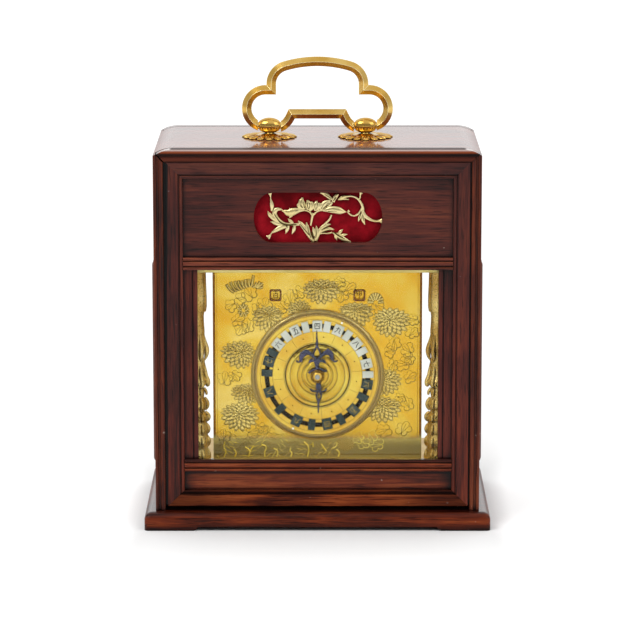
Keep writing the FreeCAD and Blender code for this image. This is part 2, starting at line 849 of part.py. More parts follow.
# Stems (start, middle, end, width) and leaves (root, tip, width) about the opening's centre
FRET_STEMS = (
    ((-1.9, -12.2), (-3.6, -5.0), (-3.2, 0.8), 1.2),
    ((-1.9, -12.2), (-5.0, -7.0), (-9.2, -3.6), 1.3),
    ((-9.2, -3.6), (-15.0, -3.2), (-20.0, 1.6), 1.6),
    ((-20.0, 1.6), (-21.3, 6.5), (-22.2, 11.6), 0.9),
    ((-20.0, 1.2), (-18.6, 3.7), (-16.6, 3.2), 1.0),
    ((-1.6, -11.8), (2.6, -4.6), (5.0, 1.2), 1.0),
    ((-0.6, -9.6), (2.6, -6.6), (6.8, -7.0), 1.2),
    ((-3.2, 0.6), (-4.2, 2.4), (-7.0, 3.2), 1.0),
    ((-3.2, 0.6), (-1.6, 2.6), (1.6, 3.2), 1.0),
    ((3.0, 3.6), (5.2, 5.4), (6.2, 8.0), 1.2),
    ((6.2, 8.0), (14.1, 9.1), (18.6, 6.4), 0.9),
    ((18.6, 6.4), (19.8, 2.8), (19.2, -0.6), 1.2),
    ((19.6, 2.6), (15.6, 0.9), (13.4, 3.2), 0.8),
    ((18.4, 6.2), (18.9, 8.6), (18.7, 11.9), 0.7),
    ((19.6, 0.8), (23.0, -1.5), (29.2, -2.3), 1.0),
    ((-20.6, -7.0), (-21.9, -8.4), (-24.6, -10.8), 0.8),
)
FRET_LEAVES = (
    ((-5.4, 2.8), (-16.6, 2.3), 3.8),
    ((-9.0, 2.4), (-12.9, -0.6), 2.4),
    ((1.0, 3.0), (12.4, 2.4), 3.8),
    ((-6.0, 3.0), (-9.4, 8.4), 4.0),
    ((-4.2, 2.6), (-5.2, 7.8), 3.6),
    ((-2.2, 2.6), (-0.6, 7.6), 3.6),
    ((-0.4, 3.0), (5.8, 7.6), 3.6),
    ((5.8, 7.8), (0.4, 11.6), 1.8),
    ((6.0, 7.6), (8.6, 10.4), 1.8),
    ((7.6, 8.2), (13.4, 7.8), 1.4),
    ((-19.4, 0.0), (-23.2, 2.6), 2.2),
    ((-17.6, -2.2), (-21.8, -2.2), 1.9),
    ((-10.6, -3.8), (-21.4, -7.2), 2.6),
    ((-13.0, -3.8), (-15.7, -7.6), 2.0),
    ((-10.2, -3.8), (-12.8, -7.8), 2.0),
    ((-11.6, -3.0), (-14.2, -0.6), 2.0),
    ((-7.0, -5.4), (-9.6, -1.8), 2.0),
    ((-4.4, -7.6), (-5.8, -2.4), 2.2),
    ((-2.6, -9.6), (-3.6, -4.4), 1.8),
    ((-1.4, -9.6), (-0.7, -4.0), 2.0),
    ((0.8, -6.8), (5.2, -3.0), 2.2),
    ((1.8, -6.4), (6.6, -5.6), 2.0),
    ((6.0, -6.6), (14.6, -12.0), 2.6),
    ((8.0, -7.6), (10.8, -5.2), 1.8),
    ((9.2, -8.6), (12.8, -7.8), 1.8),
    ((7.0, -7.0), (7.8, -10.6), 1.8),
    ((19.4, 1.2), (17.4, -2.2), 1.9),
    ((19.4, 0.4), (20.4, -3.6), 2.0),
)


def fret():
    y = face_y + BOARD_T
    depth = V(0, FRET_T, 0)
    place = at_aperture(y)
    rim = aperture(place, FRET_RIM).extrude(depth).cut(aperture(place).extrude(depth))
    work = [strip(place, *stem).extrude(depth) for stem in FRET_STEMS]
    work += [leaf(place, *blade).extrude(depth) for blade in FRET_LEAVES]
    scroll = work[0].multiFuse(work[1:])
    scroll = scroll.common(aperture(place, FRET_RIM / 2).extrude(depth))
    return whole(fuse(rim, scroll))


def silk_backing():
    y = face_y + BOARD_T + FRET_T
    return aperture(at_aperture(y), FRET_RIM).extrude(V(0, SILK_T, 0))


def back_pane():
    low = panel_low + FRAME_W - RABBET_W + TONGUE_PLAY
    high = moulding_low - FRAME_W + RABBET_W - TONGUE_PLAY
    return box(-rabbet_x, rabbet_x, face_y, face_y + PANE_T, low, high)


# Handle: a closed cloud-shaped loop of diamond section, journalled in two knobs
def diamond_bar(heading, start, *steps):
    """Diamond bar swept along a path in the handle's plane, mitred at its corners; heading in degrees."""
    edges = path_edges(on_xz(0), start, *steps)[0]
    a = math.radians(heading)

    def place(out, across_bar):
        return V(start[0] - out * math.sin(a), across_bar, start[1] + out * math.cos(a))

    square = outline(place, (-HANDLE_HALF, 0.0), (0.0, HANDLE_HALF), (HANDLE_HALF, 0.0), (0.0, -HANDLE_HALF))
    pipe = Part.BRepOffsetAPI.MakePipeShell(Part.Wire(edges))
    pipe.setTransitionMode(1)
    pipe.setBiNormalMode(Y_AXIS)
    pipe.add(square.OuterWire)
    pipe.build()
    pipe.makeSolid()
    return pipe.shape()


def on_circle(centre, radius, angle):
    a = math.radians(angle)
    return (centre[0] + radius * math.cos(a), centre[1] + radius * math.sin(a))


def flipped(point):
    return (-point[0], point[1])


knob_outer = handle_x + KNOB_L / 2 + KNOB_PLAY
knob_inner = handle_x - KNOB_L / 2 - KNOB_PLAY


def handle_loop():
    """The upper run: a lobe over each knob, a cusp, and the arch between the cusps."""
    lobe_x = -handle_x - LOBE_OUT
    lobe = (lobe_x, math.sqrt(LOBE_R ** 2 - (knob_outer + lobe_x) ** 2))
    lobe_top = on_circle(lobe, LOBE_R, 90)
    lobe_mid = on_circle(lobe, LOBE_R, 180)
    cusp = (lobe_x + CUSP_RUN, lobe_top[1])
    spring = (cusp[0], cusp[1] + CUSP_RUN)
    end = (spring[0] + ARCH_END_R, spring[1])
    crown_r = (end[0] ** 2 + ARCH_RISE ** 2 - ARCH_END_R ** 2) / (2 * (ARCH_RISE - ARCH_END_R))
    crown = (0.0, spring[1] + ARCH_RISE - crown_r)
    tangent = math.degrees(math.atan2(end[1] - crown[1], end[0] - crown[0]))
    shoulder = on_circle(end, ARCH_END_R, tangent)
    shoulder_mid = on_circle(end, ARCH_END_R, (180 + tangent) / 2)
    start = on_circle(lobe, LOBE_R, 270)
    loop = diamond_bar(
        180.0,
        start,
        (lobe_mid, lobe_top),
        cusp,
        spring,
        (shoulder_mid, shoulder),
        ((0.0, crown[1] + crown_r), flipped(shoulder)),
        (flipped(shoulder_mid), flipped(spring)),
        flipped(cusp),
        flipped(lobe_top),
        (flipped(lobe_mid), flipped(start)),
    )
    low = lobe[1] - LOBE_R - 2 * HANDLE_HALF
    return loop.cut(box(-knob_outer, knob_outer, -BEYOND, BEYOND, low, lobe[1]))


def handle_grip():
    """The lower run: the straight bar between the knobs, with a curved heel at each end."""
    toe = (-LOWER_BAR_W / 2, LOWER_BAR_RISE)
    slope = math.radians(HEEL_SLOPE)
    heel_end = (toe[0] - HEEL_RUN * math.cos(slope), toe[1] - HEEL_RUN * math.sin(slope))
    heel = on_circle(heel_end, HEEL_R, HEEL_SLOPE + 90)
    heel_start = on_circle(heel, HEEL_R, -90)
    heel_mid = on_circle(heel, HEEL_R, (HEEL_SLOPE - 180) / 2)
    grip = diamond_bar(
        0.0,
        heel_start,
        (heel_mid, heel_end),
        toe,
        flipped(toe),
        flipped(heel_end),
        (flipped(heel_mid), flipped(heel_start)),
    )
    return whole(grip.common(box(-knob_inner, knob_inner, -BEYOND, BEYOND, -BEYOND, BEYOND)))


def handle():
    journal = rod_x(-knob_outer - OVER / 2, -knob_inner + OVER / 2, 0, 0, JOURNAL_R)
    loop = fuse(handle_loop(), handle_grip(), journal, across(journal))
    loop.translate(V(0, 0, pivot_z))
    return whole(loop)


def handle_post():
    half = KNOB_L / 2
    barrel = spun(outline(
        on_xy(0),
        (-half, 0.0),
        (-half, KNOB_END_R),
        ((0.0, KNOB_R), (half, KNOB_END_R)),
        (half, 0.0),
    ), X_AXIS)
    barrel.translate(V(handle_x, 0, pivot_z))
    stem_low = board_under - CLENCH_T
    stem = rod_z(stem_low, pivot_z, handle_x, 0, POST_STEM_R)
    clench = box(handle_x - CLENCH_L, handle_x + CLENCH_L, -POST_STEM_R, POST_STEM_R, stem_low, board_under)
    post = fuse(barrel, stem, clench)
    return whole(post.cut(rod_x(handle_x - KNOB_L, handle_x + KNOB_L, 0, pivot_z, JOURNAL_R + RUNNING_FIT)))


def handle_rosette():
    step = 2 * math.pi / ROSETTE_PETALS

    def at(radius, angle):
        return (radius * math.cos(angle), radius * math.sin(angle))

    notch_r = ROSETTE_R - ROSETTE_NOTCH
    petals = []
    for k in range(ROSETTE_PETALS):
        petals.append((at(ROSETTE_R, (k + 0.5) * step), at(notch_r, (k + 1) * step)))
    plate = outline(on_xy(0), at(notch_r, 0.0), *petals).extrude(V(0, 0, ROSETTE_H))
    dome = spun(outline(
        on_xz(0),
        (0.0, 0.0),
        (ROSETTE_R, 0.0),
        (ROSETTE_R, ROSETTE_EDGE),
        (ROSETTE_BOSS_R, ROSETTE_H),
        (0.0, ROSETTE_H),
    ), Z_AXIS)
    plate = plate.common(dome).cut(rod_z(-OVER, ROSETTE_H + OVER, 0, 0, POST_STEM_R + FIT))
    plate.translate(V(handle_x, 0, case_top))
    return whole(plate)


# Movement frame: two brass plates held apart by four columns, standing on wooden rails
def seat_rails():
    rail = box(SEAT_X - SEAT_W / 2, SEAT_X + SEAT_W / 2, -seat_y, seat_y, BASE_H, seat_top)
    return [rail, across(rail)]


def frame_bottom_plate():
    return box(-frame_x, frame_x, frame_front, FRAME_REAR, seat_top, frame_floor)


def frame_top_plate():
    plate = box(-frame_x, frame_x, frame_front, FRAME_REAR, frame_ceiling, frame_top)
    plate = plate.cut(rod_z(frame_ceiling - OVER, frame_top + OVER, last_x, verge_y, VERGE_R + RUNNING_FIT))
    slot = box(HAMMER_X - HAMMER_SLOT_W / 2, HAMMER_X + HAMMER_SLOT_W / 2, BELL_Y - HAMMER_SLOT_D / 2,
               BELL_Y + HAMMER_SLOT_D / 2, frame_ceiling - OVER, frame_top + OVER)
    return whole(plate.cut(slot))


def front_column():
    collar_low = column_h - COLUMN_COLLAR_H
    shaft_low = collar_low - COLUMN_SHAFT_H
    stretch = shaft_low / sum(height for height, neck, widest in COLUMN_SWELLS)
    steps = [(COLUMN_SWELLS[0][1], 0.0)]
    level = 0.0
    for height, neck, widest in COLUMN_SWELLS:
        middle = level + height * stretch / 2
        level += height * stretch
        steps.append(((widest, middle), (neck, level)))
    steps += [
        (COLUMN_NECK_R, shaft_low),
        (COLUMN_NECK_R, collar_low),
        (COLUMN_TOP_R, collar_low),
        (COLUMN_TOP_R, column_h),
        (0.0, column_h),
    ]
    column = spun(outline(on_xz(0), (0.0, 0.0), *steps), Z_AXIS)
    column.translate(V(column_x, column_y, frame_floor))
    return column


def rear_column():
    return rod_z(frame_floor, frame_ceiling, rear_column_x, rear_column_y, REAR_COLUMN_R)


def front_plate():
    plate = box(-plate_x, plate_x, PLATE_Y, plate_back, frame_floor, frame_ceiling)
    plate = plate.cut(rod_y(PLATE_Y - OVER, plate_back + OVER, 0, dial_z, TUBE_R + TUBE_CLEAR))
    half = CALENDAR_WINDOW / 2
    for side in (-1, 1):
        x = side * CALENDAR_X
        plate = plate.cut(box(x - half, x + half, PLATE_Y - OVER, plate_back + OVER,
                              calendar_z - half, calendar_z + half))
        stud_end = plate_back + CALENDAR_CLEAR + CALENDAR_T + CALENDAR_CLEAR
        plate = plate.fuse(rod_y(plate_back, stud_end, x, calendar_axis_z, CALENDAR_STUD_R))
        head = rod_y(stud_end, stud_end + CALENDAR_T, x, calendar_axis_z, 2 * CALENDAR_STUD_R)
        plate = plate.fuse(head)
    return whole(plate.removeSplitter())


def calendar_disc(x, notches):
    y = plate_back + CALENDAR_CLEAR
    disc = rod_y(y, y + CALENDAR_T, x, calendar_axis_z, CALENDAR_R)
    past = y + CALENDAR_T + OVER
    disc = disc.cut(rod_y(y - OVER, past, x, calendar_axis_z, CALENDAR_STUD_R + RUNNING_FIT))
    for k in range(notches):
        a = 2 * math.pi * k / notches
        notch_x = x + CALENDAR_R * math.cos(a)
        notch_z = calendar_axis_z + CALENDAR_R * math.sin(a)
        disc = disc.cut(rod_y(y - OVER, past, notch_x, notch_z, CALENDAR_NOTCH_R))
    return whole(disc)


def train_front_plate():
    half = TRAIN_PLATE_W / 2
    plate = box(-half, half, TRAIN_FRONT_Y, train_front_back, frame_floor, frame_ceiling)
    foot_low = verge_foot_top - VERGE_FOOT_H
    foot = box(last_x - VERGE_FOOT_W / 2, last_x + VERGE_FOOT_W / 2, train_front_back,
               verge_y + VERGE_FOOT_W / 2, foot_low, verge_foot_top)
    plate = fuse(plate, foot)
    holes = [(side * barrel_x, barrel_z, PIVOT_R) for side in (-1, 1)]
    holes += [(side * second_x, second_z, FINE_PIVOT_R) for side in (-1, 1)]
    holes += [(-last_x, last_z, FINE_PIVOT_R), (HAMMER_X, hammer_z, FINE_PIVOT_R)]
    for x, z, r in holes:
        plate = plate.cut(rod_y(TRAIN_FRONT_Y - OVER, train_front_back + OVER, x, z, r + RUNNING_FIT))
    plate = plate.cut(rod_y(TRAIN_FRONT_Y - OVER, train_front_back + OVER, 0, dial_z, STUD_R + FIT))
    step = rod_z(foot_low - OVER, verge_foot_top + OVER, last_x, verge_y, VERGE_PIVOT_R + RUNNING_FIT)
    return whole(plate.cut(step))


def train_back_plate():
    half = TRAIN_PLATE_W / 2
    plate = box(-half, half, TRAIN_BACK_Y, train_back_back, frame_floor, frame_ceiling)
    holes = [(side * barrel_x, barrel_z, PIVOT_R) for side in (-1, 1)]
    holes += [(side * second_x, second_z, FINE_PIVOT_R) for side in (-1, 1)]
    holes += [(side * last_x, last_z, FINE_PIVOT_R) for side in (-1, 1)]
    holes += [(HAMMER_X, hammer_z, FINE_PIVOT_R)]
    for x, z, r in holes:
        plate = plate.cut(rod_y(TRAIN_BACK_Y - OVER, train_back_back + OVER, x, z, r + RUNNING_FIT))
    return whole(plate)


def escapement_cock():
    left = last_x - COCK_W / 2
    right = last_x + COCK_W / 2
    back = COCK_Y + COCK_T
    plate = box(left, right, COCK_Y, back, last_z - COCK_DROP, frame_ceiling)
    foot = box(left, right, COCK_Y, COCK_Y + COCK_FOOT_L, frame_ceiling - COCK_T, frame_ceiling)
    hole = rod_y(COCK_Y - OVER, back + OVER, last_x, last_z, FINE_ARBOR_R + RUNNING_FIT)
    return whole(fuse(plate, foot).cut(hole))


# Bell on its stand, above the movement
def bell():
    flat_r = BELL_NUT_R + BELL_T

    def side(wall):
        """The arcs of the wall at one depth inside the outer skin: rim, flare, shoulder, crown, flat."""
        rim = (BELL_R - wall, 0.0)
        flare = (BELL_R - BELL_FLARE - wall, BELL_H * BELL_FLARE_UP)
        shoulder = (BELL_R * BELL_SHOULDER - wall, BELL_H * BELL_SHOULDER_UP - wall / 2)
        crown = (BELL_R * BELL_CROWN - wall / 2, BELL_H * BELL_CROWN_UP - wall)
        return rim, flare, shoulder, crown, (flat_r, BELL_H - wall)

    rim, flare, shoulder, crown, flat = side(0.0)
    in_rim, in_flare, in_shoulder, in_crown, in_flat = side(BELL_T)
    skin = outline(
        on_xz(0),
        in_rim,
        rim,
        (flare, shoulder),
        (crown, flat),
        (BELL_STUD_R + FIT, BELL_H),
        (BELL_STUD_R + FIT, BELL_H - BELL_T),
        in_flat,
        (in_crown, in_shoulder),
        (in_flare, in_rim),
    )
    shell = spun(skin, Z_AXIS)
    shell.translate(V(BELL_X, BELL_Y, bell_rim_z))
    return whole(shell)


def bell_stand():
    crown_z = bell_rim_z + BELL_H
    post = fuse(
        rod_z(frame_top, crown_z - BELL_T, BELL_X, BELL_Y, BELL_STAND_R),
        rod_z(frame_top, crown_z + BELL_NUT_H, BELL_X, BELL_Y, BELL_STUD_R),
    )
    nut = spun(outline(
        on_xz(0),
        (BELL_STUD_R + FIT, 0.0),
        (BELL_NUT_R, 0.0),
        (BELL_NUT_R, BELL_NUT_H / 2),
        (BELL_STUD_R + FIT, BELL_NUT_H),
    ), Z_AXIS)
    nut.translate(V(BELL_X, BELL_Y, crown_z))
    return [whole(post), nut]


# Dial: a revolving disc with 24 movable hour plaques, inside a fixed bezel
def at_dial(y):
    return lambda a, b: V(a, y, dial_z + b)


def dial_bezel():
    inner = DIAL_R + BEZEL_GAP
    spring = BEZEL_RISE - BEZEL_W / 2
    ring = spun(outline(
        lambda r, d: V(r, PLATE_Y - d, 0),
        (inner, 0.0),
        (inner + BEZEL_W, 0.0),
        (inner + BEZEL_W, spring),
        ((inner + BEZEL_W / 2, BEZEL_RISE), (inner, spring)),
    ), Y_AXIS)
    ring.translate(V(0, 0, dial_z))
    return ring


def dial_disc():
    floor = DIAL_T - DISH_DEPTH
    low_sweep = DIAL_T - DISH_DEPTH * DISH_SWEEP
    high_sweep = floor + DISH_DEPTH * DISH_SWEEP
    profile = outline(
        lambda r, d: V(r, dial_back - d, 0),
        (STUD_R + RUNNING_FIT, 0.0),
        (DIAL_R, 0.0),
        (DIAL_R, DIAL_T),
        (SLOT_OUT_R, DIAL_T),
        (SLOT_OUT_R, DIAL_T - SLOT_DEPTH),
        (SLOT_IN_R, DIAL_T - SLOT_DEPTH),
        (SLOT_IN_R, DIAL_T),
        (DISH_R, DIAL_T),
        ((DISH_R - DISH_EDGE / 2, low_sweep), (DISH_R - DISH_EDGE, floor)),
        (DISH_BOSS_R, floor),
        ((DISH_BOSS_R - DISH_BOSS_EDGE / 2, high_sweep), (DISH_BOSS_R - DISH_BOSS_EDGE, DIAL_T)),
        (STUD_R + RUNNING_FIT, DIAL_T),
    )
    disc = spun(profile, Y_AXIS)
    disc.translate(V(0, 0, dial_z))
    for turn in (DIAL_PIN_ANGLE, DIAL_PIN_ANGLE + 180):
        a = math.radians(turn)
        x, z = DIAL_PIN_AT * math.sin(a), dial_z + DIAL_PIN_AT * math.cos(a)
        disc = disc.fuse(rod_y(dial_face - DIAL_PIN_RISE, dial_face + DIAL_T / 2, x, z, DIAL_PIN_R))
    return whole(disc.removeSplitter())


def plaques(angles):
    ring = rod_y(plaque_face, dial_face, 0, dial_z, PLAQUE_OUT_R)
    ring = ring.cut(rod_y(plaque_face - OVER, dial_face + OVER, 0, dial_z, PLAQUE_IN_R))
    cut = []
    for k, turn in enumerate(angles):
        half = (HOUR_PLAQUE_W if k % 2 == 0 else HALF_PLAQUE_W) / 2
        blade = box(-half, half, plaque_face - OVER, dial_face + OVER, 0, DIAL_R)
        blade.rotate(CENTRE, Y_AXIS, turn)
        blade.translate(V(0, 0, dial_z))
        cut.append(whole(ring.common(blade)))
    return cut


def hand_stud():
    shank = rod_y(hand_back, train_front_back, 0, dial_z, STUD_R)
    return whole(fuse(shank, rod_y(collet_face - STUD_TIP, train_front_back, 0, dial_z, STUD_PIN_R)))


def hand_collet():
    ring = spun(outline(
        lambda r, d: V(r, hand_face - d, 0),
        (STUD_PIN_R + FIT, 0.0),
        (COLLET_R, 0.0),
        (COLLET_R, COLLET_T / 2),
        (COLLET_R - COLLET_T / 2, COLLET_T),
        (STUD_PIN_R + FIT, COLLET_T),
    ), Y_AXIS)
    ring.translate(V(0, 0, dial_z))
    return ring


# Scroll work of the hand on its right side, about the dial's centre
HAND_STRIPS = (
    ((0.0, 5.6), (4.6, 10.2), (8.2, 6.2), 1.5),
    ((8.2, 6.4), (8.7, 5.4), (9.4, 6.4), 0.6),
    ((0.0, 5.4), (2.6, 7.2), (4.2, 5.6), 0.9),
    ((1.8, 2.4), (3.0, 1.9), (4.4, 2.2), 0.8),
    ((0.0, -4.6), (2.6, -6.0), (4.2, -4.4), 0.9),
    ((0.3, 7.0), (1.7, 9.6), (0.2, 13.0), 0.5),
    ((0.3, -6.0), (1.4, -8.0), (0.2, -11.0), 0.5),
)


def hand():
    place = at_dial(hand_face)
    depth = V(0, HAND_T, 0)

    def taper(low, low_w, high, high_w):
        face = outline(place, (-low_w / 2, low), (low_w / 2, low), (high_w / 2, high), (-high_w / 2, high))
        return face.extrude(depth)

    needle = taper(NEEDLE_FROM, NEEDLE_W, HAND_UP, HAND_POINT_W)
    tail = taper(-TAIL_FROM, TAIL_W, -HAND_TAIL, HAND_POINT_W)
    stalk = taper(-STALK_DOWN, STALK_W, STALK_UP, STALK_W)
    work = [needle, tail, stalk]
    for path in HAND_STRIPS:
        scroll = strip(place, *path).extrude(depth)
        work += [scroll, across(scroll)]
    blade = fuse(rod_y(hand_face, hand_back, 0, dial_z, HAND_HUB_R), *work)
    return whole(blade.cut(rod_y(hand_face - OVER, hand_back + OVER, 0, dial_z, STUD_PIN_R + FIT)))


# Wheels: cut teeth with involute flanks drawn as two chords each
def tooth_face(place, teeth, module, phase):
    """A toothed outline about the place's origin; phase is the angle of one tooth's middle."""
    pitch_r = module * teeth / 2
    base_r = pitch_r * math.cos(math.radians(PRESSURE_ANGLE))
    tip_r = pitch_r + ADDENDUM * module
    root_r = pitch_r - DEDENDUM * module

    def involute(r):
        a = math.acos(min(1.0, base_r / r))
        return math.tan(a) - a

    half_pitch = math.pi / (2 * teeth) - BACKLASH / (4 * pitch_r)

    def half_angle(r):
        return half_pitch + involute(pitch_r) - involute(max(r, base_r))

    radii = (root_r, pitch_r, tip_r)
    points = []
    for k in range(teeth):
        middle = phase + 2 * math.pi * k / teeth
        for r in radii:
            points.append((r, middle - half_angle(r)))
        for r in reversed(radii):
            points.append((r, middle + half_angle(r)))
    points = [(r * math.cos(a), r * math.sin(a)) for r, a in points]
    return outline(place, points[0], *points[1:])


def wheel(x, z, y, thickness, teeth, module, phase):
    place = lambda a, b: V(x + a, y, z + b)
    return tooth_face(place, teeth, module, phase).extrude(V(0, thickness, 0))


def crossed(blank, x, z, y, thickness, rim_r, arms):
    """A wheel with its web cut away between a hub, straight arms and the rim."""
    front = y - OVER
    back = y + thickness + OVER
    web = rod_y(front, back, x, z, rim_r).cut(rod_y(front, back, x, z, WHEEL_HUB_R))
    for k in range(arms):
        arm = box(0, 2 * rim_r, front, back, -WHEEL_ARM_W / 2, WHEEL_ARM_W / 2)
        arm.rotate(CENTRE, Y_AXIS, 360.0 * k / arms)
        arm.translate(V(x, 0, z))
        web = web.cut(arm)
    return blank.cut(web)


def meshed(phase, teeth, toward, other_teeth):
    """Phase of a wheel that meshes with one whose tooth phase is given, in a direction in radians."""
    return toward + math.pi + math.pi / other_teeth - (phase - toward) * teeth / other_teeth


great_phase = 0.0
to_second = math.radians(SECOND_ANGLE)
to_last = math.radians(LAST_ANGLE)
to_dial = math.radians(180 - BARREL_ANGLE)
second_phase = meshed(great_phase, GREAT_TEETH, to_second, SECOND_PINION_TEETH)
last_phase = meshed(second_phase, SECOND_TEETH, to_last, LAST_PINION_TEETH)
dial_phase = meshed(great_phase, DIAL_PINION_TEETH, to_dial, DIAL_TEETH)


def barrel():
    """Spring drum, great wheel and arbor of one train, on the right-hand side."""
    great = wheel(barrel_x, barrel_z, great_y, GREAT_WHEEL_T, GREAT_TEETH, GREAT_MODULE, great_phase)
    drum = rod_y(BARREL_Y, great_y, barrel_x, barrel_z, BARREL_R)
    arbor = rod_y(train_front_back + END_SHAKE, TRAIN_BACK_Y - END_SHAKE, barrel_x, barrel_z, ARBOR_R)
    return [great, drum, arbor]


def winding_square(x):
    half = WINDING_SQUARE / 2
    start = train_back_back
    return [rod_y(TRAIN_BACK_Y - OVER, start + 2 * COUNT_WHEEL_T, x, barrel_z, PIVOT_R),
            box(x - half, x + half, start + 2 * COUNT_WHEEL_T, start + 2 * COUNT_WHEEL_T + WINDING_SQUARE_L,
                barrel_z - half, barrel_z + half)]


def going_barrel():
    pinion = wheel(barrel_x, barrel_z, DIAL_WHEEL_Y - PINION_EXTRA / 2, DIAL_WHEEL_T + PINION_EXTRA,
                   DIAL_PINION_TEETH, GREAT_MODULE, great_phase)
    nose = rod_y(DIAL_WHEEL_Y - PINION_EXTRA / 2, train_front_back + OVER, barrel_x, barrel_z, PIVOT_R)
    return whole(fuse(*barrel(), pinion, nose, *winding_square(barrel_x)))


def strike_barrel():
    """The strike side mirrors the going side and carries the count wheel behind the back plate."""
    nose = rod_y(TRAIN_FRONT_Y, train_front_back + OVER, -barrel_x, barrel_z, PIVOT_R)
    y = train_back_back + COUNT_CLEAR
    count = rod_y(y, y + COUNT_WHEEL_T, -barrel_x, barrel_z, COUNT_WHEEL_R)
    for turn in COUNT_NOTCH_ANGLES:
        notch = box(COUNT_WHEEL_R - COUNT_NOTCH_DEPTH, COUNT_WHEEL_R + OVER, y - OVER,
                    y + COUNT_WHEEL_T + OVER, -COUNT_NOTCH_W / 2, COUNT_NOTCH_W / 2)
        notch.rotate(CENTRE, Y_AXIS, turn)
        notch.translate(V(-barrel_x, 0, barrel_z))
        count = count.cut(notch)
    return whole(fuse(*[across(piece) for piece in barrel()], nose, count, *winding_square(-barrel_x)))


def fine_arbor(x, z):
    return [rod_y(train_front_back + END_SHAKE, TRAIN_BACK_Y - END_SHAKE, x, z, FINE_ARBOR_R),
            rod_y(TRAIN_FRONT_Y, train_back_back, x, z, FINE_PIVOT_R)]


def second_wheel_pieces():
    pinion_y = great_y - PINION_EXTRA / 2
    pinion = wheel(second_x, second_z, pinion_y, GREAT_WHEEL_T + PINION_EXTRA,
                   SECOND_PINION_TEETH, GREAT_MODULE, second_phase)
    blank = wheel(second_x, second_z, SECOND_WHEEL_Y, SECOND_WHEEL_T, SECOND_TEETH, FINE_MODULE, second_phase)
    rim_r = FINE_MODULE * SECOND_TEETH / 2 - WHEEL_RIM
    return [pinion, crossed(blank, second_x, second_z, SECOND_WHEEL_Y, SECOND_WHEEL_T, rim_r, WHEEL_ARMS)]


def second_wheel():
    return whole(fuse(*second_wheel_pieces(), *fine_arbor(second_x, second_z)))


def pin_wheel():
    pieces = [across(piece) for piece in second_wheel_pieces()] + fine_arbor(-second_x, second_z)
    for k in range(LIFTING_PINS):
        a = 2 * math.pi * (k + 0.5) / LIFTING_PINS
        x = -second_x + LIFTING_PIN_AT * math.cos(a)
        z = second_z + LIFTING_PIN_AT * math.sin(a)
        front = SECOND_WHEEL_Y - LIFTING_PIN_L
        pieces.append(rod_y(front, SECOND_WHEEL_Y + SECOND_WHEEL_T, x, z, LIFTING_PIN_R))
    return whole(fuse(*pieces))


def last_pinion(x, phase):
    return wheel(x, last_z, SECOND_WHEEL_Y - PINION_EXTRA / 2, SECOND_WHEEL_T + PINION_EXTRA,
                 LAST_PINION_TEETH, FINE_MODULE, phase)


def crown_wheel():
    """Escape wheel: a contrate band with saw teeth that face the verge."""
    band = rod_y(CROWN_Y, CROWN_Y + CROWN_BAND, last_x, last_z, CROWN_R)
    hollow_end = CROWN_Y + CROWN_BAND - CROWN_WALL
    band = band.cut(rod_y(CROWN_Y - OVER, hollow_end, last_x, last_z, CROWN_R - CROWN_WALL))
    pitch = 360.0 / CROWN_TEETH
    arc = CROWN_R * math.radians(pitch)
    side = arc * CROWN_GAP / 2
    gap = outline(
        on_xy(last_z),
        (-side, CROWN_Y - OVER),
        (side, CROWN_Y - OVER),
        (side, CROWN_Y),
        (-arc * CROWN_RAKE, CROWN_Y + CROWN_TOOTH_H),
        (-side, CROWN_Y),
    ).extrude(V(0, 0, 2 * CROWN_R))
    for k in range(CROWN_TEETH):
        cutter = gap.copy()
        cutter.rotate(V(0, 0, last_z), Y_AXIS, pitch * k)
        cutter.translate(V(last_x, 0, 0))
        band = band.cut(cutter)
    arbor = rod_y(hollow_end - OVER / 2, TRAIN_BACK_Y - END_SHAKE, last_x, last_z, FINE_ARBOR_R)
    pivot = rod_y(TRAIN_BACK_Y - OVER, train_back_back, last_x, last_z, FINE_PIVOT_R)
    return whole(fuse(band, arbor, pivot, last_pinion(last_x, last_phase)))


def balance():
    """Upright verge with two pallets, and the balance wheel that it carries above the frame."""
    staff = rod_z(verge_foot_top + END_SHAKE, balance_z + BALANCE_T, last_x, verge_y, VERGE_R)
    pivot = rod_z(verge_foot_top - VERGE_FOOT_H, verge_foot_top + OVER, last_x, verge_y, VERGE_PIVOT_R)
    pieces = [staff, pivot]
    for side in (-1, 1):
        z = last_z + side * (CROWN_R - CROWN_WALL / 2)
        flag = box(-PALLET_T / 2, PALLET_T / 2, 0, PALLET_L, z - PALLET_W / 2, z + PALLET_W / 2)
        flag.rotate(CENTRE, Z_AXIS, side * PALLET_ANGLE)
        flag.translate(V(last_x, verge_y, 0))
        pieces.append(flag)
    top = balance_z + BALANCE_T
    ring = rod_z(balance_z, top, last_x, verge_y, BALANCE_R)
    pieces.append(ring.cut(rod_z(balance_z - OVER, top + OVER, last_x, verge_y, BALANCE_R - BALANCE_RIM)))
    for k in range(BALANCE_ARMS):
        arm = box(0, BALANCE_R - BALANCE_RIM / 2, -WHEEL_ARM_W / 2, WHEEL_ARM_W / 2, balance_z, top)
        arm.rotate(CENTRE, Z_AXIS, 360.0 * k / BALANCE_ARMS + 90)
        arm.translate(V(last_x, verge_y, 0))
        pieces.append(arm)
    return whole(fuse(*pieces))


def fly():
    vane = box(-last_x - FLY_L / 2, -last_x + FLY_L / 2, FLY_Y, FLY_Y + FLY_W,
               last_z - FLY_T / 2, last_z + FLY_T / 2)
    mirrored_phase = math.pi - last_phase
    return whole(fuse(vane, last_pinion(-last_x, mirrored_phase), *fine_arbor(-last_x, last_z)))


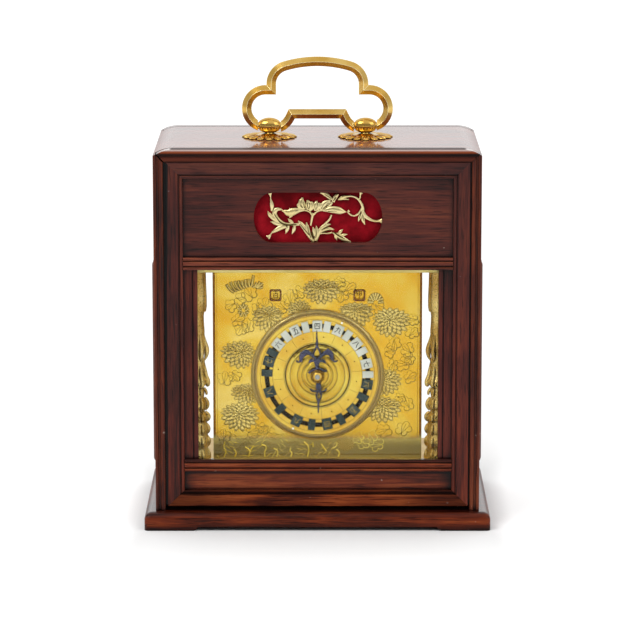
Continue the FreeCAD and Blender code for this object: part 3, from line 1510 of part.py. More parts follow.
def hammer():
    """Arbor between the plates, an arm up through the top plate's slot, a head and a lifting tail."""
    head_right = BELL_X - BELL_R - HAMMER_GAP
    head_left = head_right - HAMMER_HEAD_L
    head_x = (head_left + head_right) / 2
    head = rod_x(head_left, head_right, BELL_Y, hammer_head_z, HAMMER_HEAD_R)
    low, high = V(HAMMER_X, BELL_Y, hammer_z), V(head_x, BELL_Y, hammer_head_z)
    arm = Part.makeCylinder(HAMMER_ARM_R, low.distanceToPoint(high), low, high.sub(low))
    tail_y = SECOND_WHEEL_Y - LIFTING_PIN_L
    tail_end = V(HAMMER_X + HAMMER_TAIL_X, tail_y, hammer_z - HAMMER_TAIL_DROP)
    tail_top = V(HAMMER_X, tail_y, hammer_z)
    tail_l = tail_top.distanceToPoint(tail_end)
    tail = Part.makeCylinder(HAMMER_TAIL_T / 2, tail_l, tail_top, tail_end.sub(tail_top))
    return whole(fuse(head, arm, tail, *fine_arbor(HAMMER_X, hammer_z)))


def dial_wheel():
    blank = wheel(0, dial_z, DIAL_WHEEL_Y, DIAL_WHEEL_T, DIAL_TEETH, GREAT_MODULE, dial_phase)
    rim_r = GREAT_MODULE * DIAL_TEETH / 2 - WHEEL_RIM
    blank = crossed(blank, 0, dial_z, DIAL_WHEEL_Y, DIAL_WHEEL_T, rim_r, WHEEL_ARMS)
    tube = rod_y(dial_back, TRAIN_FRONT_Y - END_SHAKE, 0, dial_z, TUBE_R)
    pipe = fuse(blank, tube)
    return whole(pipe.cut(rod_y(dial_back - OVER, TRAIN_FRONT_Y, 0, dial_z, STUD_R + RUNNING_FIT)))


def lifted(shape):
    """A piece of the front panel, set over to the side play that it rests with."""
    moved = shape.copy()
    moved.translate(V(PANEL_SHIFT, 0, 0))
    return moved


os.makedirs("parts", exist_ok=True)

save("base_plinth", base_plinth())
right_post = front_right_post()
left_post = across(right_post)
save("front_right_post", right_post)
save("front_left_post", left_post)
save("rear_left_post", turned_round(right_post))
save("rear_right_post", turned_round(left_post))
save("side_boards", *side_boards())
save("side_window_mouldings", *side_window_mouldings())
save("side_panes", *side_panes())
save("top_board", top_board())
save("sills", *sills())

stile = right_stile()
save("front_right_stile", lifted(stile))
save("front_left_stile", lifted(across(stile)))
save("front_top_rail", lifted(frame_rail(True)))
save("front_bottom_rail", lifted(frame_rail(False)))
save("front_top_moulding", lifted(top_moulding()))
save("upper_cross_rail", lifted(cross_rail(upper_cross_low)))
save("lower_cross_rail", lifted(cross_rail(lower_cross_low)))
save("upper_panel", lifted(upper_panel()))
save("lower_panel", lifted(lower_panel()))
save("front_pane", lifted(front_pane()))
save("glazing_fillets", *[lifted(piece) for piece in glazing_fillets()])
save("fret", lifted(fret()))
save("silk_backing", lifted(silk_backing()))

back_pieces = (stile, across(stile), frame_rail(True), frame_rail(False))
save("back_frame", *[turned_round(piece) for piece in back_pieces])
save("back_top_moulding", turned_round(top_moulding()))
save("back_pane", turned_round(back_pane()))

save("handle", handle())
post = handle_post()
save("handle_posts", post, across(post))
rosette = handle_rosette()
save("handle_rosettes", rosette, across(rosette))

save("movement_seat_rails", *seat_rails())
save("frame_bottom_plate", frame_bottom_plate())
save("frame_top_plate", frame_top_plate())
column = front_column()
save("front_columns", column, across(column))
save("rear_columns", rear_column(), across(rear_column()))
save("front_plate", front_plate())
save("train_front_plate", train_front_plate())
save("train_back_plate", train_back_plate())
save("escapement_cock", escapement_cock())
save("bell", bell())
save("bell_stand", *bell_stand())

save("dial_bezel", dial_bezel())
save("dial_disc", dial_disc())
save("dial_wheel", dial_wheel())
save("day_plaques", *plaques(DAY_ANGLES))
save("night_plaques", *plaques(NIGHT_ANGLES))
save("hand", hand())
save("hand_collet", hand_collet())
save("hand_stud", hand_stud())
save("left_calendar_disc", calendar_disc(-CALENDAR_X, STEM_SIGNS))
save("right_calendar_disc", calendar_disc(CALENDAR_X, BRANCH_SIGNS))

save("going_barrel", going_barrel())
save("second_wheel", second_wheel())
save("crown_wheel", crown_wheel())
save("balance", balance())
save("strike_barrel", strike_barrel())
save("pin_wheel", pin_wheel())
save("fly", fly())
save("hammer", hammer())
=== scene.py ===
"""The looks of a small rosewood table clock with a gilt dial plate and a brass carrying handle."""
import contextlib
import math

import bpy
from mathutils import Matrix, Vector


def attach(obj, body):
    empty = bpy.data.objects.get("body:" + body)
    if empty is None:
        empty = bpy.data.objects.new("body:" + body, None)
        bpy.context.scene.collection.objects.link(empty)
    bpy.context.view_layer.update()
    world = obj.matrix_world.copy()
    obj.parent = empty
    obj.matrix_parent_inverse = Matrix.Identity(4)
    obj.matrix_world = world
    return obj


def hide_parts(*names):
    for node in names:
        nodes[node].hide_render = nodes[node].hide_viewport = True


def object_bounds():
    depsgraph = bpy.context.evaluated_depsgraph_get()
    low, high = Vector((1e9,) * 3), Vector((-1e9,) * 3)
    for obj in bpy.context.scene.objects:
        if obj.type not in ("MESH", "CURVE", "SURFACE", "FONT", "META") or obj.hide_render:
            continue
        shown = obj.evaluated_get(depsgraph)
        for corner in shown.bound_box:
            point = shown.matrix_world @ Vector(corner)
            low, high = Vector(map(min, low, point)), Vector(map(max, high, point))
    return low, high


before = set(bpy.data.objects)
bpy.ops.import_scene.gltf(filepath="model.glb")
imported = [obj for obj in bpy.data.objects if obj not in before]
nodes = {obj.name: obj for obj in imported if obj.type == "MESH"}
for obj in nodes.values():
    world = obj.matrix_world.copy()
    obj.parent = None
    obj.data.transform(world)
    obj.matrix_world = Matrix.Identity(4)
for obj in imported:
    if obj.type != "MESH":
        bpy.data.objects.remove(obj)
cad_box = [list(corner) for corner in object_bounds()]

# Base board
# The plank of rosewood that the case stands on, with a rounded edge and four corner feet left by the saw.
# It is planed, oiled and rubbed with wax; its arrises are painted paler, partly as wear where the clock was
# lifted and set down and partly as painted light.
MM = 0.001
X, Y, Z = (1, 0, 0), (0, 1, 0), (0, 0, 1)


def linear(hex_colour):
    """An sRGB hex colour as Blender's linear colour."""
    parts = [int(hex_colour[i:i + 2], 16) / 255 for i in (1, 3, 5)]
    return [c / 12.92 if c <= 0.04045 else ((c + 0.055) / 1.055) ** 2.4 for c in parts] + [1.0]


def feed(material, inputs, node=None):
    """Feeds a node, or else the Principled shader, from values, hex colours, nodes and nodes' outputs."""
    node = node or material.node_tree.nodes["Principled BSDF"]
    for socket, value in inputs.items():
        if isinstance(value, str):
            value = linear(value)
        if isinstance(value, bpy.types.Node):
            value = next(output for output in value.outputs if output.enabled)
        if isinstance(value, bpy.types.NodeSocket):
            material.node_tree.links.new(value, node.inputs[socket])
        else:
            node.inputs[socket].default_value = value
    return material


def add(material, kind, inputs=None, stops=(), **settings):
    """Adds one node with its inputs and settings, and the (place, hex colour) stops if it is a ramp."""
    node = material.node_tree.nodes.new("ShaderNode" + kind)
    for name, value in settings.items():
        setattr(node, name, value)
    if stops:
        steps = node.color_ramp.elements
        while len(steps) < len(stops):
            steps.new(1.0)
        for step, (place, colour) in zip(steps, stops):
            step.position = place
            step.color = linear(colour)
    feed(material, inputs or {}, node)
    return node


def blank(name):
    """A new material with its Principled shader."""
    material = bpy.data.materials.new(name)
    material.use_nodes = True
    return material


def laid(material, colour, share=1.0, blend="MIX", socket="Base Color"):
    """Lays a colour over what feeds a socket of the Principled shader so far."""
    plain = material.node_tree.nodes["Principled BSDF"].inputs[socket].links[0].from_socket
    # A mix node takes its share as input 0 and its two colours as inputs 6 and 7
    over = add(material, "Mix", {0: share, 6: plain, 7: colour}, data_type="RGBA", blend_type=blend)
    return feed(material, {socket: over})


def rosewood(name, along, colours, worn_and_lit="#7C3A1C", wear_and_light=0.6, shine=0.2, tint="#FFFFFF"):
    """Waxed rosewood: dark streaks and open pores along the grain, beads painted orange as wear and as light,
    grooves painted dark as shade, a mirror-waxed top.
    """
    material = blank(name)
    where = add(material, "TexCoord").outputs["Object"]
    # The figure is drawn out to twenty times its width along the grain
    run = add(material, "Mapping", {"Vector": where, "Scale": [0.05 if part else 1 for part in along]})
    # Growth bands of 5 mm and fibres of 0.8 mm; the pores, 0.2 mm wide, are drawn at 0.6 mm so that they show
    bands = add(material, "TexNoise", {"Vector": run, "Scale": 1 / (5 * MM), "Detail": 5, "Roughness": 0.55,
                                       "Distortion": 0.6})
    fibres = add(material, "TexNoise", {"Vector": run, "Scale": 1 / (0.8 * MM), "Detail": 4,
                                        "Roughness": 0.7})
    pores = add(material, "TexNoise", {"Vector": run, "Scale": 1 / (0.6 * MM), "Detail": 2})
    clouds = add(material, "TexNoise", {"Vector": where, "Scale": 1 / (30 * MM), "Detail": 2})
    grain = add(material, "Math", {0: bands, 1: 0.5}, operation="MULTIPLY")
    for noise, share in ((fibres, 0.32), (clouds, 0.28)):
        grain = add(material, "Math", {0: noise, 1: share, 2: grain}, operation="MULTIPLY_ADD")
    wood = add(material, "ValToRGB", {0: grain}, list(zip((0.42, 0.50, 0.575, 0.67), colours)))
    feed(material, {"Base Color": wood})
    # Beads and rounded edges face none of the three main ways; they are painted orange, partly as wear and
    # partly as painted light, most on their tops, which face the lamps
    normal = add(material, "NewGeometry").outputs["Normal"]
    sides = add(material, "VectorMath", {0: normal}, operation="ABSOLUTE")
    sides = add(material, "SeparateXYZ", {0: sides}).outputs
    square = add(material, "Math", {0: sides["X"], 1: sides["Y"]}, operation="MAXIMUM")
    square = add(material, "Math", {0: square, 1: sides["Z"]}, operation="MAXIMUM")
    rubbed_and_lit = add(material, "MapRange", {0: square, 1: 0.97, 2: 0.80})
    up = add(material, "SeparateXYZ", {0: normal}).outputs["Z"]
    lit_from_above = add(material, "MapRange", {0: up, 1: -0.5, 2: 0.5, 3: 0.15, 4: 1.0})
    patchy = add(material, "TexNoise", {"Vector": where, "Scale": 1 / (7 * MM), "Detail": 4})
    patchy = add(material, "MapRange", {0: patchy, 1: 0.35, 2: 0.65, 3: 0.3, 4: 1.0})
    for part in (lit_from_above, patchy, wear_and_light):
        rubbed_and_lit = add(material, "Math", {0: rubbed_and_lit, 1: part}, operation="MULTIPLY", use_clamp=True)
    laid(material, worn_and_lit, rubbed_and_lit)
    pits = add(material, "ValToRGB", {0: pores}, [(0.32, "#5A4A46"), (0.44, "#FFFFFF")])
    laid(material, pits, 0.8, "MULTIPLY")
    # The grooves and inner corners are painted almost black, as shade
    groove = add(material, "AmbientOcclusion", {"Distance": 3.0 * MM}, samples=8).outputs["AO"]
    painted_groove_shade = add(material, "ValToRGB", {0: groove}, [(0.30, "#140A08"), (0.62, "#A09088"), (0.80, "#FFFFFF")])
    laid(material, painted_groove_shade, 0.95, "MULTIPLY")
    # A few pale nicks and specks of dust, under 1 mm across
    specks = add(material, "TexNoise", {"Vector": where, "Scale": 1 / (2.5 * MM), "Detail": 1})
    specks = add(material, "MapRange", {0: specks, 1: 0.775, 2: 0.81, 4: 0.5})
    laid(material, "#B4A094", specks)
    soft = add(material, "Bevel", {"Radius": 0.5 * MM}, samples=6)
    bump = add(material, "Bump", {"Strength": 0.3, "Distance": 0.06 * MM, "Height": pores, "Normal": soft})
    gloss = add(material, "MapRange", {0: fibres, 3: 0.26, 4: 0.46})
    # Faces that look up were waxed to a mirror
    waxed = add(material, "MapRange", {0: up, 1: 0.75, 2: 0.98})
    return feed(material, {"Roughness": gloss, "Normal": bump, "Coat Weight": waxed, "Coat Roughness": 0.08,
                           "Specular IOR Level": shine, "Specular Tint": tint})


def striped(material, across, low, high, *stops, share=1.0, blend="MULTIPLY", socket="Base Color"):
    """Lays (place, hex colour) bands over a socket's feed, between two places in mm across a direction."""
    where = add(material, "TexCoord").outputs["Object"]
    reach = add(material, "VectorMath", {0: where, 1: across}, operation="DOT_PRODUCT")
    reach = add(material, "MapRange", {0: reach, 1: low * MM, 2: high * MM})
    return laid(material, add(material, "ValToRGB", {0: reach}, stops), share, blend, socket)


def dress(material, *names):
    """Gives CAD nodes a material."""
    for name in names:
        mesh = nodes[name].data
        mesh.materials.clear()
        mesh.materials.append(material)


base_wood = rosewood("rosewood_base", X, ("#220B07", "#521D0C", "#742D12", "#98461C"), wear_and_light=0.12, shine=0.15)
# The foot of its edge and its top, under the panel, are painted darker as shade; the round between keeps its
# colour
striped(base_wood, Z, 0, 8.2, (0.0, "#9A928E"), (0.22, "#A8A09C"), (0.36, "#E6E0DC"),
        (0.46, "#FFFFFF"), (0.66, "#FFFFFF"), (0.81, "#D0C0B8"), (0.93, "#A8988F"))
dress(base_wood, "base_plinth", "sills")

# Carcase
# Four beaded corner posts, glazed sides and a rolled top, glued up in rosewood and waxed with the base.
RED_WOOD = ("#220B07", "#45180D", "#5E2511", "#7A3A1C")
DARK_WOOD = ("#230E0C", "#431B16", "#56251C", "#6C3422")
dress(rosewood("rosewood_upright", Z, RED_WOOD), "front_left_post", "front_right_post", "rear_left_post",
      "rear_right_post", "side_boards", "side_window_mouldings")
top_wood = rosewood("rosewood_top", X, ("#4A2018", "#6A3024", "#80402E", "#945440"), wear_and_light=0.4, shine=0.5,
                    tint="#F2C4BC")
# Along the front and back edges a dark band is painted on the top as shade, and the wax coat fades out there
for side in (-1, 1):
    edge = (Y, side * 36.2, side * 34.4)
    striped(top_wood, *edge, (0.0, "#2A1614"), (0.6, "#6A4A46"), (1.0, "#FFFFFF"))
    striped(top_wood, *edge, (0.0, "#000000"), (0.6, "#303030"), (1.0, "#FFFFFF"), socket="Coat Weight")
dress(top_wood, "top_board")
dress(rosewood("rosewood_seat", Y, DARK_WOOD), "movement_seat_rails")

# Window glass
# Thin old sheet glass, clear with a faint green edge, let into the sides and the two lift-out panels.
# It shows only as a faint grey reflection, and lets the lamps' light through without a shadow.
glass = feed(blank("sheet_glass"), {"Base Color": "#FEFFFE", "Roughness": 0.01, "Transmission Weight": 1.0,
                                    "IOR": 1.5, "Specular Tint": "#606060"})
rays = add(glass, "LightPath").outputs
clear = add(glass, "BsdfTransparent", {"Color": "#F4F8F5"})
shaders = glass.node_tree.nodes
pane = add(glass, "MixShader", {0: rays["Is Shadow Ray"], 1: shaders["Principled BSDF"], 2: clear})
feed(glass, {"Surface": pane}, shaders["Material Output"])
dress(glass, "side_panes", "front_pane", "back_pane")

# Movement
# Plates, wheels and arbors of cast and filed brass, fine-ground and lacquered, with a steel hammer.


def brass(name, colours, rough, grit, tarnish="#6E5426", amount=0.35, metallic=1.0):
    """A polished metal: a warm mirror with soft scratches, and tarnish gathered in hollows and patches."""
    material = blank(name)
    where = add(material, "TexCoord").outputs["Object"]
    patches = add(material, "TexNoise", {"Vector": where, "Scale": 1 / (12 * MM), "Detail": 4})
    scratches = add(material, "TexNoise", {"Vector": where, "Scale": 1 / (grit * MM), "Detail": 2})
    clean = add(material, "ValToRGB", {0: patches}, list(zip((0.38, 0.62), colours)))
    soft = add(material, "Bevel", {"Radius": 0.3 * MM}, samples=6)
    hollow = add(material, "AmbientOcclusion", {"Distance": 1.6 * MM}, samples=6).outputs["AO"]
    dull = add(material, "MapRange", {0: hollow, 1: 0.75, 2: 0.2, 4: amount})
    gloss = add(material, "MapRange", {0: scratches, 3: rough * 0.75, 4: rough * 1.3})
    bump = add(material, "Bump", {"Strength": 0.08, "Distance": 0.02 * MM, "Height": scratches,
                                  "Normal": soft})
    feed(material, {"Base Color": clean, "Roughness": gloss, "Normal": bump, "Metallic": metallic})
    return laid(material, tarnish, dull)


# The ground plates are soft yellow mirrors; the top plate's edge, seen over the dial, is paler
dress(brass("pale_brass_edge", ("#C4B06A", "#D4C282"), 0.34, 0.4), "frame_top_plate")
dress(brass("ground_brass", ("#C29A45", "#D2AE5C"), 0.30, 0.4), "frame_bottom_plate", "rear_columns",
      "train_front_plate", "train_back_plate", "escapement_cock", "bell_stand", "dial_wheel", "going_barrel",
      "second_wheel", "crown_wheel", "strike_barrel", "pin_wheel", "fly", "balance")
# Steel is a cool grey mirror, and bell metal a dull brown one
dress(brass("polished_steel", ("#8F9290", "#A8ABA8"), 0.28, 0.5, "#4A4642", 0.3), "hammer", "hand_stud")
dress(brass("turned_bell_metal", ("#8E7236", "#A98B4A"), 0.24, 0.6), "bell")

# Front columns
# Two cast and chased brass columns that hold the movement's plates apart on either side of the dial plate.
# Their raised leaves are rubbed pale, and the hollows between them are dark brown.
chased_brass = brass("chased_brass", ("#B8903E", "#E4C676"), 0.28, 0.6, "#4C3A1A", 0.9, metallic=0.6)
COLUMN_X, COLUMN_Y, COLUMN_LOW = 54.5, -22.0, 25.5
# Radius and height of the turned core: the foot's swells, the plain shaft and the collar under the top plate
CORE = [
    (4.8, 0), (5.2, 3.6), (4.6, 7.4), (5.0, 10.3), (4.5, 13.4), (4.8, 16.2), (4.2, 19.3), (4.9, 21.6),
    (3.2, 24.2), (4.2, 27.4), (2.9, 30.9), (3.2, 33.0), (2.8, 35.1), (4.7, 38.2), (2.9, 41.4), (3.5, 45.8),
    (2.8, 50.7), (3.6, 55.6), (3.2, 60.2), (3.4, 60.3), (3.4, 70.5), (4.1, 70.6), (4.1, 89.4)]
# Leaves and tendrils about the core, each a run of (distance from the axis, height, half-thickness)
LEAVES = [
    [(2.9, 60.0, 0.4), (3.4, 56.5, 0.9), (4.2, 52.6, 1.2), (3.9, 49.6, 0.8), (3.1, 47.6, 0.3)],
    [(2.8, 47.5, 0.5), (3.3, 44.0, 0.8), (4.0, 40.5, 0.9), (4.8, 37.8, 1.0), (4.5, 36.2, 0.7),
     (3.8, 36.6, 0.4)],
    [(3.0, 35.0, 0.6), (3.9, 33.2, 0.7), (4.1, 31.9, 0.5)],
    [(3.2, 30.6, 0.6), (4.3, 28.6, 0.9), (4.4, 26.4, 0.8), (3.4, 24.8, 0.5)],
    [(3.4, 24.0, 0.6), (4.7, 22.6, 0.9), (5.0, 20.9, 0.8), (4.1, 19.6, 0.5)],
    [(3.8, 18.6, 0.6), (4.7, 16.9, 0.9), (4.8, 15.0, 0.8), (4.0, 13.8, 0.5)],
    [(4.0, 13.0, 0.6), (4.9, 11.2, 0.9), (5.0, 9.2, 0.8), (4.2, 7.8, 0.5)],
    [(4.2, 6.8, 0.6), (5.0, 4.6, 0.9), (5.1, 2.4, 0.8), (4.6, 0.8, 0.5)]]
# Height and distance from the axis of each ring of scrolls
SCROLLS = [(37.4, 4.5), (21.9, 4.6), (10.3, 4.7), (3.6, 5.0)]


def chosen(*pieces):
    """Selects only these pieces, with the first of them active, or none before a new piece is added."""
    bpy.ops.object.select_all(action="DESELECT")
    for piece in pieces:
        piece.select_set(True)
    if pieces:
        bpy.context.view_layer.objects.active = pieces[0]


@contextlib.contextmanager
def editing():
    """Edit mode, with all of the active piece selected."""
    bpy.ops.object.mode_set(mode="EDIT")
    bpy.ops.mesh.select_all(action="SELECT")
    yield
    bpy.ops.object.mode_set(mode="OBJECT")


def drawn(strokes, flat=1.0, thick=MM):
    """Smooth bars along runs of (x, z, half-width) in mm, flattened front to back, or lines if thick is 0."""
    chosen()
    bpy.ops.object.add(type="CURVE")
    piece = bpy.context.object
    line = piece.data
    line.dimensions = "3D"
    line.bevel_depth = thick
    line.bevel_resolution = 2 if thick else 0
    line.use_fill_caps = bool(thick)
    line.resolution_u = 4
    for stroke in strokes:
        spline = line.splines.new("BEZIER")
        spline.radius_interpolation = "CARDINAL"
        spline.bezier_points.add(len(stroke) - 1)
        for point, (x, z, half) in zip(spline.bezier_points, stroke):
            point.co = (x * MM, 0, z * MM)
            point.radius = half
            point.handle_left_type = point.handle_right_type = "AUTO"
    bpy.ops.object.convert(target="MESH")
    with editing():
        bpy.ops.transform.resize(value=(1, flat, 1), center_override=(0, 0, 0))
    return piece


def ringed(count, axis):
    """Repeats the active piece's mesh in equal steps round an axis through the origin."""
    turn = 2 * math.pi * (count - 1) / count
    with editing():
        bpy.ops.mesh.spin(steps=count - 1, dupli=True, angle=turn, center=(0, 0, 0), axis=axis)


def joined(*pieces):
    """Several pieces as one."""
    chosen(*pieces)
    bpy.ops.object.join()
    return pieces[0]


def copied(piece):
    """A copy of a piece with a mesh of its own."""
    chosen(piece)
    bpy.ops.object.duplicate()
    return bpy.context.object


def settled(piece, name, body, slot, *materials, place=(0, 0, 0)):
    """Puts a piece in its place, in its mesh, and gives it its name, finish and body; its slot is not used.
    """
    chosen(piece)
    piece.location = [v * MM for v in place]
    bpy.ops.object.transform_apply()
    bpy.ops.object.shade_smooth_by_angle(angle=math.radians(40))
    piece.name = name
    for material in materials:
        piece.data.materials.clear()
        piece.data.materials.append(material)
    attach(piece, body)
    return piece


def turned(profile, steps):
    """A piece turned about the upright axis, from (radius, height) points in mm."""
    piece = drawn([[(r, z, 1) for r, z in profile]], thick=0)
    lathe = piece.modifiers.new("lathe", "SCREW")
    lathe.axis = "Z"
    lathe.steps = lathe.render_steps = steps
    lathe.use_merge_vertices = True
    lathe.merge_threshold = 0.001 * MM
    lathe.use_normal_calculate = True
    bpy.ops.object.modifier_apply(modifier="lathe")
    return piece


core = turned(CORE, 24)
leaves = drawn(LEAVES)
ringed(6, Z)
scrolls = []
for height, reach in SCROLLS:
    place = (0, -reach * MM, height * MM)
    chosen()
    bpy.ops.mesh.primitive_torus_add(major_radius=1.15 * MM, minor_radius=0.42 * MM, major_segments=14,
                                     minor_segments=6, location=place, rotation=(math.pi / 2, 0, 0))
    curl = bpy.context.object
    bpy.ops.mesh.primitive_uv_sphere_add(segments=10, ring_count=6, radius=0.6 * MM, location=place)
    scrolls.append(joined(curl, bpy.context.object))
    bpy.ops.object.transform_apply()
    ringed(4, Z)
left_column = joined(core, leaves, *scrolls)
right_column = copied(left_column)
right_column.scale = (-1, 1, 1)
bpy.ops.object.transform_apply()
with editing():
    bpy.ops.mesh.flip_normals()
settled(left_column, "left_chased_column", "case", "gilt_brass", chased_brass,
        place=(-COLUMN_X, COLUMN_Y, COLUMN_LOW))
settled(right_column, "right_chased_column", "case", "gilt_brass", chased_brass,
        place=(COLUMN_X, COLUMN_Y, COLUMN_LOW))
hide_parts("front_columns")

# Dial plate
# A flat plate of fire-gilt brass, engraved by hand with chrysanthemums, with two small calendar windows.
# The gilding is a soft mirror with orange and lemon clouds where the gold lies thicker or thinner.
gilt = blank("fire_gilt_brass")
where = add(gilt, "TexCoord").outputs["Object"]
clouds = add(gilt, "TexNoise", {"Vector": where, "Scale": 1 / (22 * MM), "Detail": 5, "Distortion": 0.8})
grains = add(gilt, "TexNoise", {"Vector": where, "Scale": 1 / (0.7 * MM), "Detail": 2})
gold = add(gilt, "ValToRGB", {0: clouds}, [(0.34, "#DDA82A"), (0.46, "#E2B438"), (0.56, "#E4BF48"),
                                           (0.70, "#EACC6A")])
gloss = add(gilt, "MapRange", {0: grains, 3: 0.20, 4: 0.30})
dents = add(gilt, "Bump", {"Strength": 0.06, "Distance": 0.03 * MM, "Height": grains})
feed(gilt, {"Base Color": gold, "Roughness": gloss, "Normal": dents, "Metallic": 0.72,
            "Specular IOR Level": 0.2})
# The border is two cut lines along each side, 1.2 mm apart, with the bare bevelled edge outside them, painted
# darkest at the rim as shade
for side in (-1, 1):
    striped(gilt, X, side * 44.5, side * 47.5, (0.32, "#FFFFFF"), (0.38, "#8A6C30"),
            (0.44, "#FFFFFF"), (0.62, "#FFFFFF"), (0.66, "#7A5C2C"), (0.86, "#9A7A40"), (1.0, "#5E4522"))
# Along the bottom the gold is painted paler, as light, with a cut line above the edge, and it is darker along
# its top, under the top plate
striped(gilt, Z, 25.5, 40.0, (0.0, "#F4E092"), (0.7, "#F2D878"), (0.9, "#000000"), blend="LIGHTEN")
striped(gilt, Z, 25.5, 40.0, (0.20, "#FFFFFF"), (0.23, "#C0B284"), (0.26, "#FFFFFF"))
striped(gilt, Z, 113.0, 114.9, (0.3, "#FFFFFF"), (0.55, "#7A6832"), (1.0, "#7A6832"))
dress(gilt, "front_plate", "left_calendar_disc", "right_calendar_disc")

# Engraving
# Chrysanthemums cut into the plate with a graver: raised petals with dark cut rims, leaf outlines with veins,
# and a brushwood fence along the bottom. Burnished petals glint; fresh cuts are painted pale yellow as
# glints; old cuts are a dull olive.
petal_gold = brass("burnished_petals", ("#D0AE4C", "#EACF74"), 0.24, 0.5, "#A48E46", 0.5, metallic=0.7)
cut_line = brass("graver_cut", ("#9C8642", "#AE984E"), 0.45, 0.4, "#86743C", 0.3, metallic=0.3)
# The bright cuts are a pale yellow, half matt, painted to shine as glints under any light
painted_glint = brass("painted_glint_cut", ("#FFE25A", "#FFEE84"), 0.22, 0.5, "#F0CC50", 0.2, metallic=0.35)
# Rings of petals of a bloom of radius 1: count, inner and outer end, half-width, turn in degrees, lift
BLOOM_RINGS = [
    (17, 0.62, 1.00, 0.120, 0, 0.000), (17, 0.46, 0.80, 0.105, 10.6, 0.010),
    (12, 0.28, 0.62, 0.115, 0, 0.020), (12, 0.16, 0.44, 0.085, 15, 0.030), (7, 0.02, 0.28, 0.080, 0, 0.040)]
# Each bloom leans: where its petals meet, and how far they reach left, right, up and down
BLOOMS = [
    (1.6, 106.0, 8.4, 9.3, 4.4, 7.6), (-21.7, 93.8, 8.2, 6.4, 4.2, 8.5), (-7.9, 95.6, 6.0, 5.6, 5.2, 6.0),
    (16.9, 96.0, 7.4, 8.8, 3.6, 8.8), (32.8, 91.6, 8.0, 9.8, 5.6, 8.5), (-34.5, 76.7, 9.8, 6.2, 5.2, 8.2),
    (-31.5, 58.4, 8.2, 6.0, 3.6, 6.6), (-35.8, 47.7, 8.5, 9.6, 5.4, 8.4), (30.2, 63.6, 6.0, 8.4, 5.4, 7.6),
    (29.5, 51.3, 9.0, 9.1, 4.6, 8.1), (12.9, 33.6, 4.4, 4.6, 3.4, 3.4)]
PLATE_Y, DIAL_Z = -19.0, 66.1
# Nothing is cut on the plate inside the bezel
BARE_RADIUS = 29.8


def disc(corners, radius, place=(0, 0, 0)):
    """A flat disc with a number of corners that stands in the plate's plane."""
    chosen()
    bpy.ops.mesh.primitive_circle_add(vertices=corners, radius=radius, fill_type="NGON", location=place,
                                      rotation=(math.pi / 2, 0, 0))
    bpy.ops.object.transform_apply()
    return bpy.context.object


def petals(count, inner, outer, half, turn, lift):
    """A ring of pointed, domed petals with a dark cut rim, standing in the plate's plane."""
    piece = disc(10, 1)
    with editing():
        bpy.ops.mesh.inset(thickness=0.32)
        bpy.ops.mesh.poke(offset=0.06)
    for v in piece.data.vertices:
        v.co.x *= half * (1 - 0.45 * v.co.z ** 2) * (1 + 0.25 * v.co.z)
    with editing():
        bpy.ops.transform.resize(value=(1, 1, (outer - inner) / 2), center_override=(0, 0, 0))
        bpy.ops.transform.translate(value=(0, -lift, (inner + outer) / 2))
    piece.data.materials.append(petal_gold)
    piece.data.materials.append(cut_line)
    for face in piece.data.polygons:
        face.material_index = 1 if len(face.vertices) == 4 else 0
    ringed(count, Y)
    piece.rotation_euler = (0, math.radians(turn), 0)
    bpy.ops.object.transform_apply()
    return piece


rings = [petals(*ring) for ring in BLOOM_RINGS]
ground = disc(28, 0.84, (0, 0.004, 0))
ground.data.materials.append(cut_line)
bloom = joined(*rings, ground)
copies = []
for x, z, left, right, up, down in BLOOMS:
    copy = copied(bloom)
    for v in copy.data.vertices:
        v.co.x *= (right if v.co.x > 0 else left) * MM
        v.co.z *= (up if v.co.z > 0 else down) * MM
        v.co.y *= 8 * MM
    copy.location = (x * MM, (PLATE_Y - 0.05) * MM, z * MM)
    bpy.ops.object.transform_apply()
    copies.append(copy)
bpy.data.objects.remove(bloom)
garden = joined(*copies)
with editing():
    bpy.ops.mesh.select_all(action="DESELECT")
for face in garden.data.polygons:
    x, y, z = face.center
    face.select = math.hypot(x, z - DIAL_Z * MM) < BARE_RADIUS * MM
bpy.ops.object.mode_set(mode="EDIT")
bpy.ops.mesh.delete(type="FACE")
bpy.ops.object.mode_set(mode="OBJECT")
settled(garden, "engraved_blooms", "case", "gilt_brass")

# Middle and size of each leaf
LEAF_PLACES = [
    (-12.3, 101.4, 3.1), (-8.5, 104.1, 2.5), (10.2, 108.9, 2.2), (14.0, 105.9, 3.1), (11.0, 102.6, 2.7),
    (-30.7, 103.6, 3.1), (-35.0, 101.0, 2.5), (-39.3, 98.0, 2.5), (-23.9, 98.5, 2.9), (-27.0, 96.9, 2.3),
    (-16.1, 97.2, 2.7), (-36.2, 91.3, 2.5), (-34.7, 87.5, 2.7), (-31.5, 88.8, 2.7), (27.6, 97.2, 2.7),
    (43.2, 91.3, 2.3), (43.0, 85.4, 2.5), (34.9, 80.1, 2.7), (40.9, 77.7, 2.7), (32.8, 76.6, 2.3),
    (41.8, 73.5, 2.3), (-42.2, 64.2, 2.9), (-37.6, 65.4, 2.5), (39.0, 71.0, 3.0), (42.2, 64.9, 2.5),
    (34.2, 70.3, 2.3), (41.0, 52.5, 2.7), (37.7, 55.2, 2.0), (30.2, 39.7, 3.0), (39.3, 40.8, 3.0),
    (24.1, 36.5, 2.9), (18.6, 36.6, 2.3), (-29.6, 39.4, 2.7), (-25.1, 41.0, 2.3), (-42.8, 37.6, 2.7),
    (21.0, 34.0, 2.5), (27.2, 33.4, 2.7)]
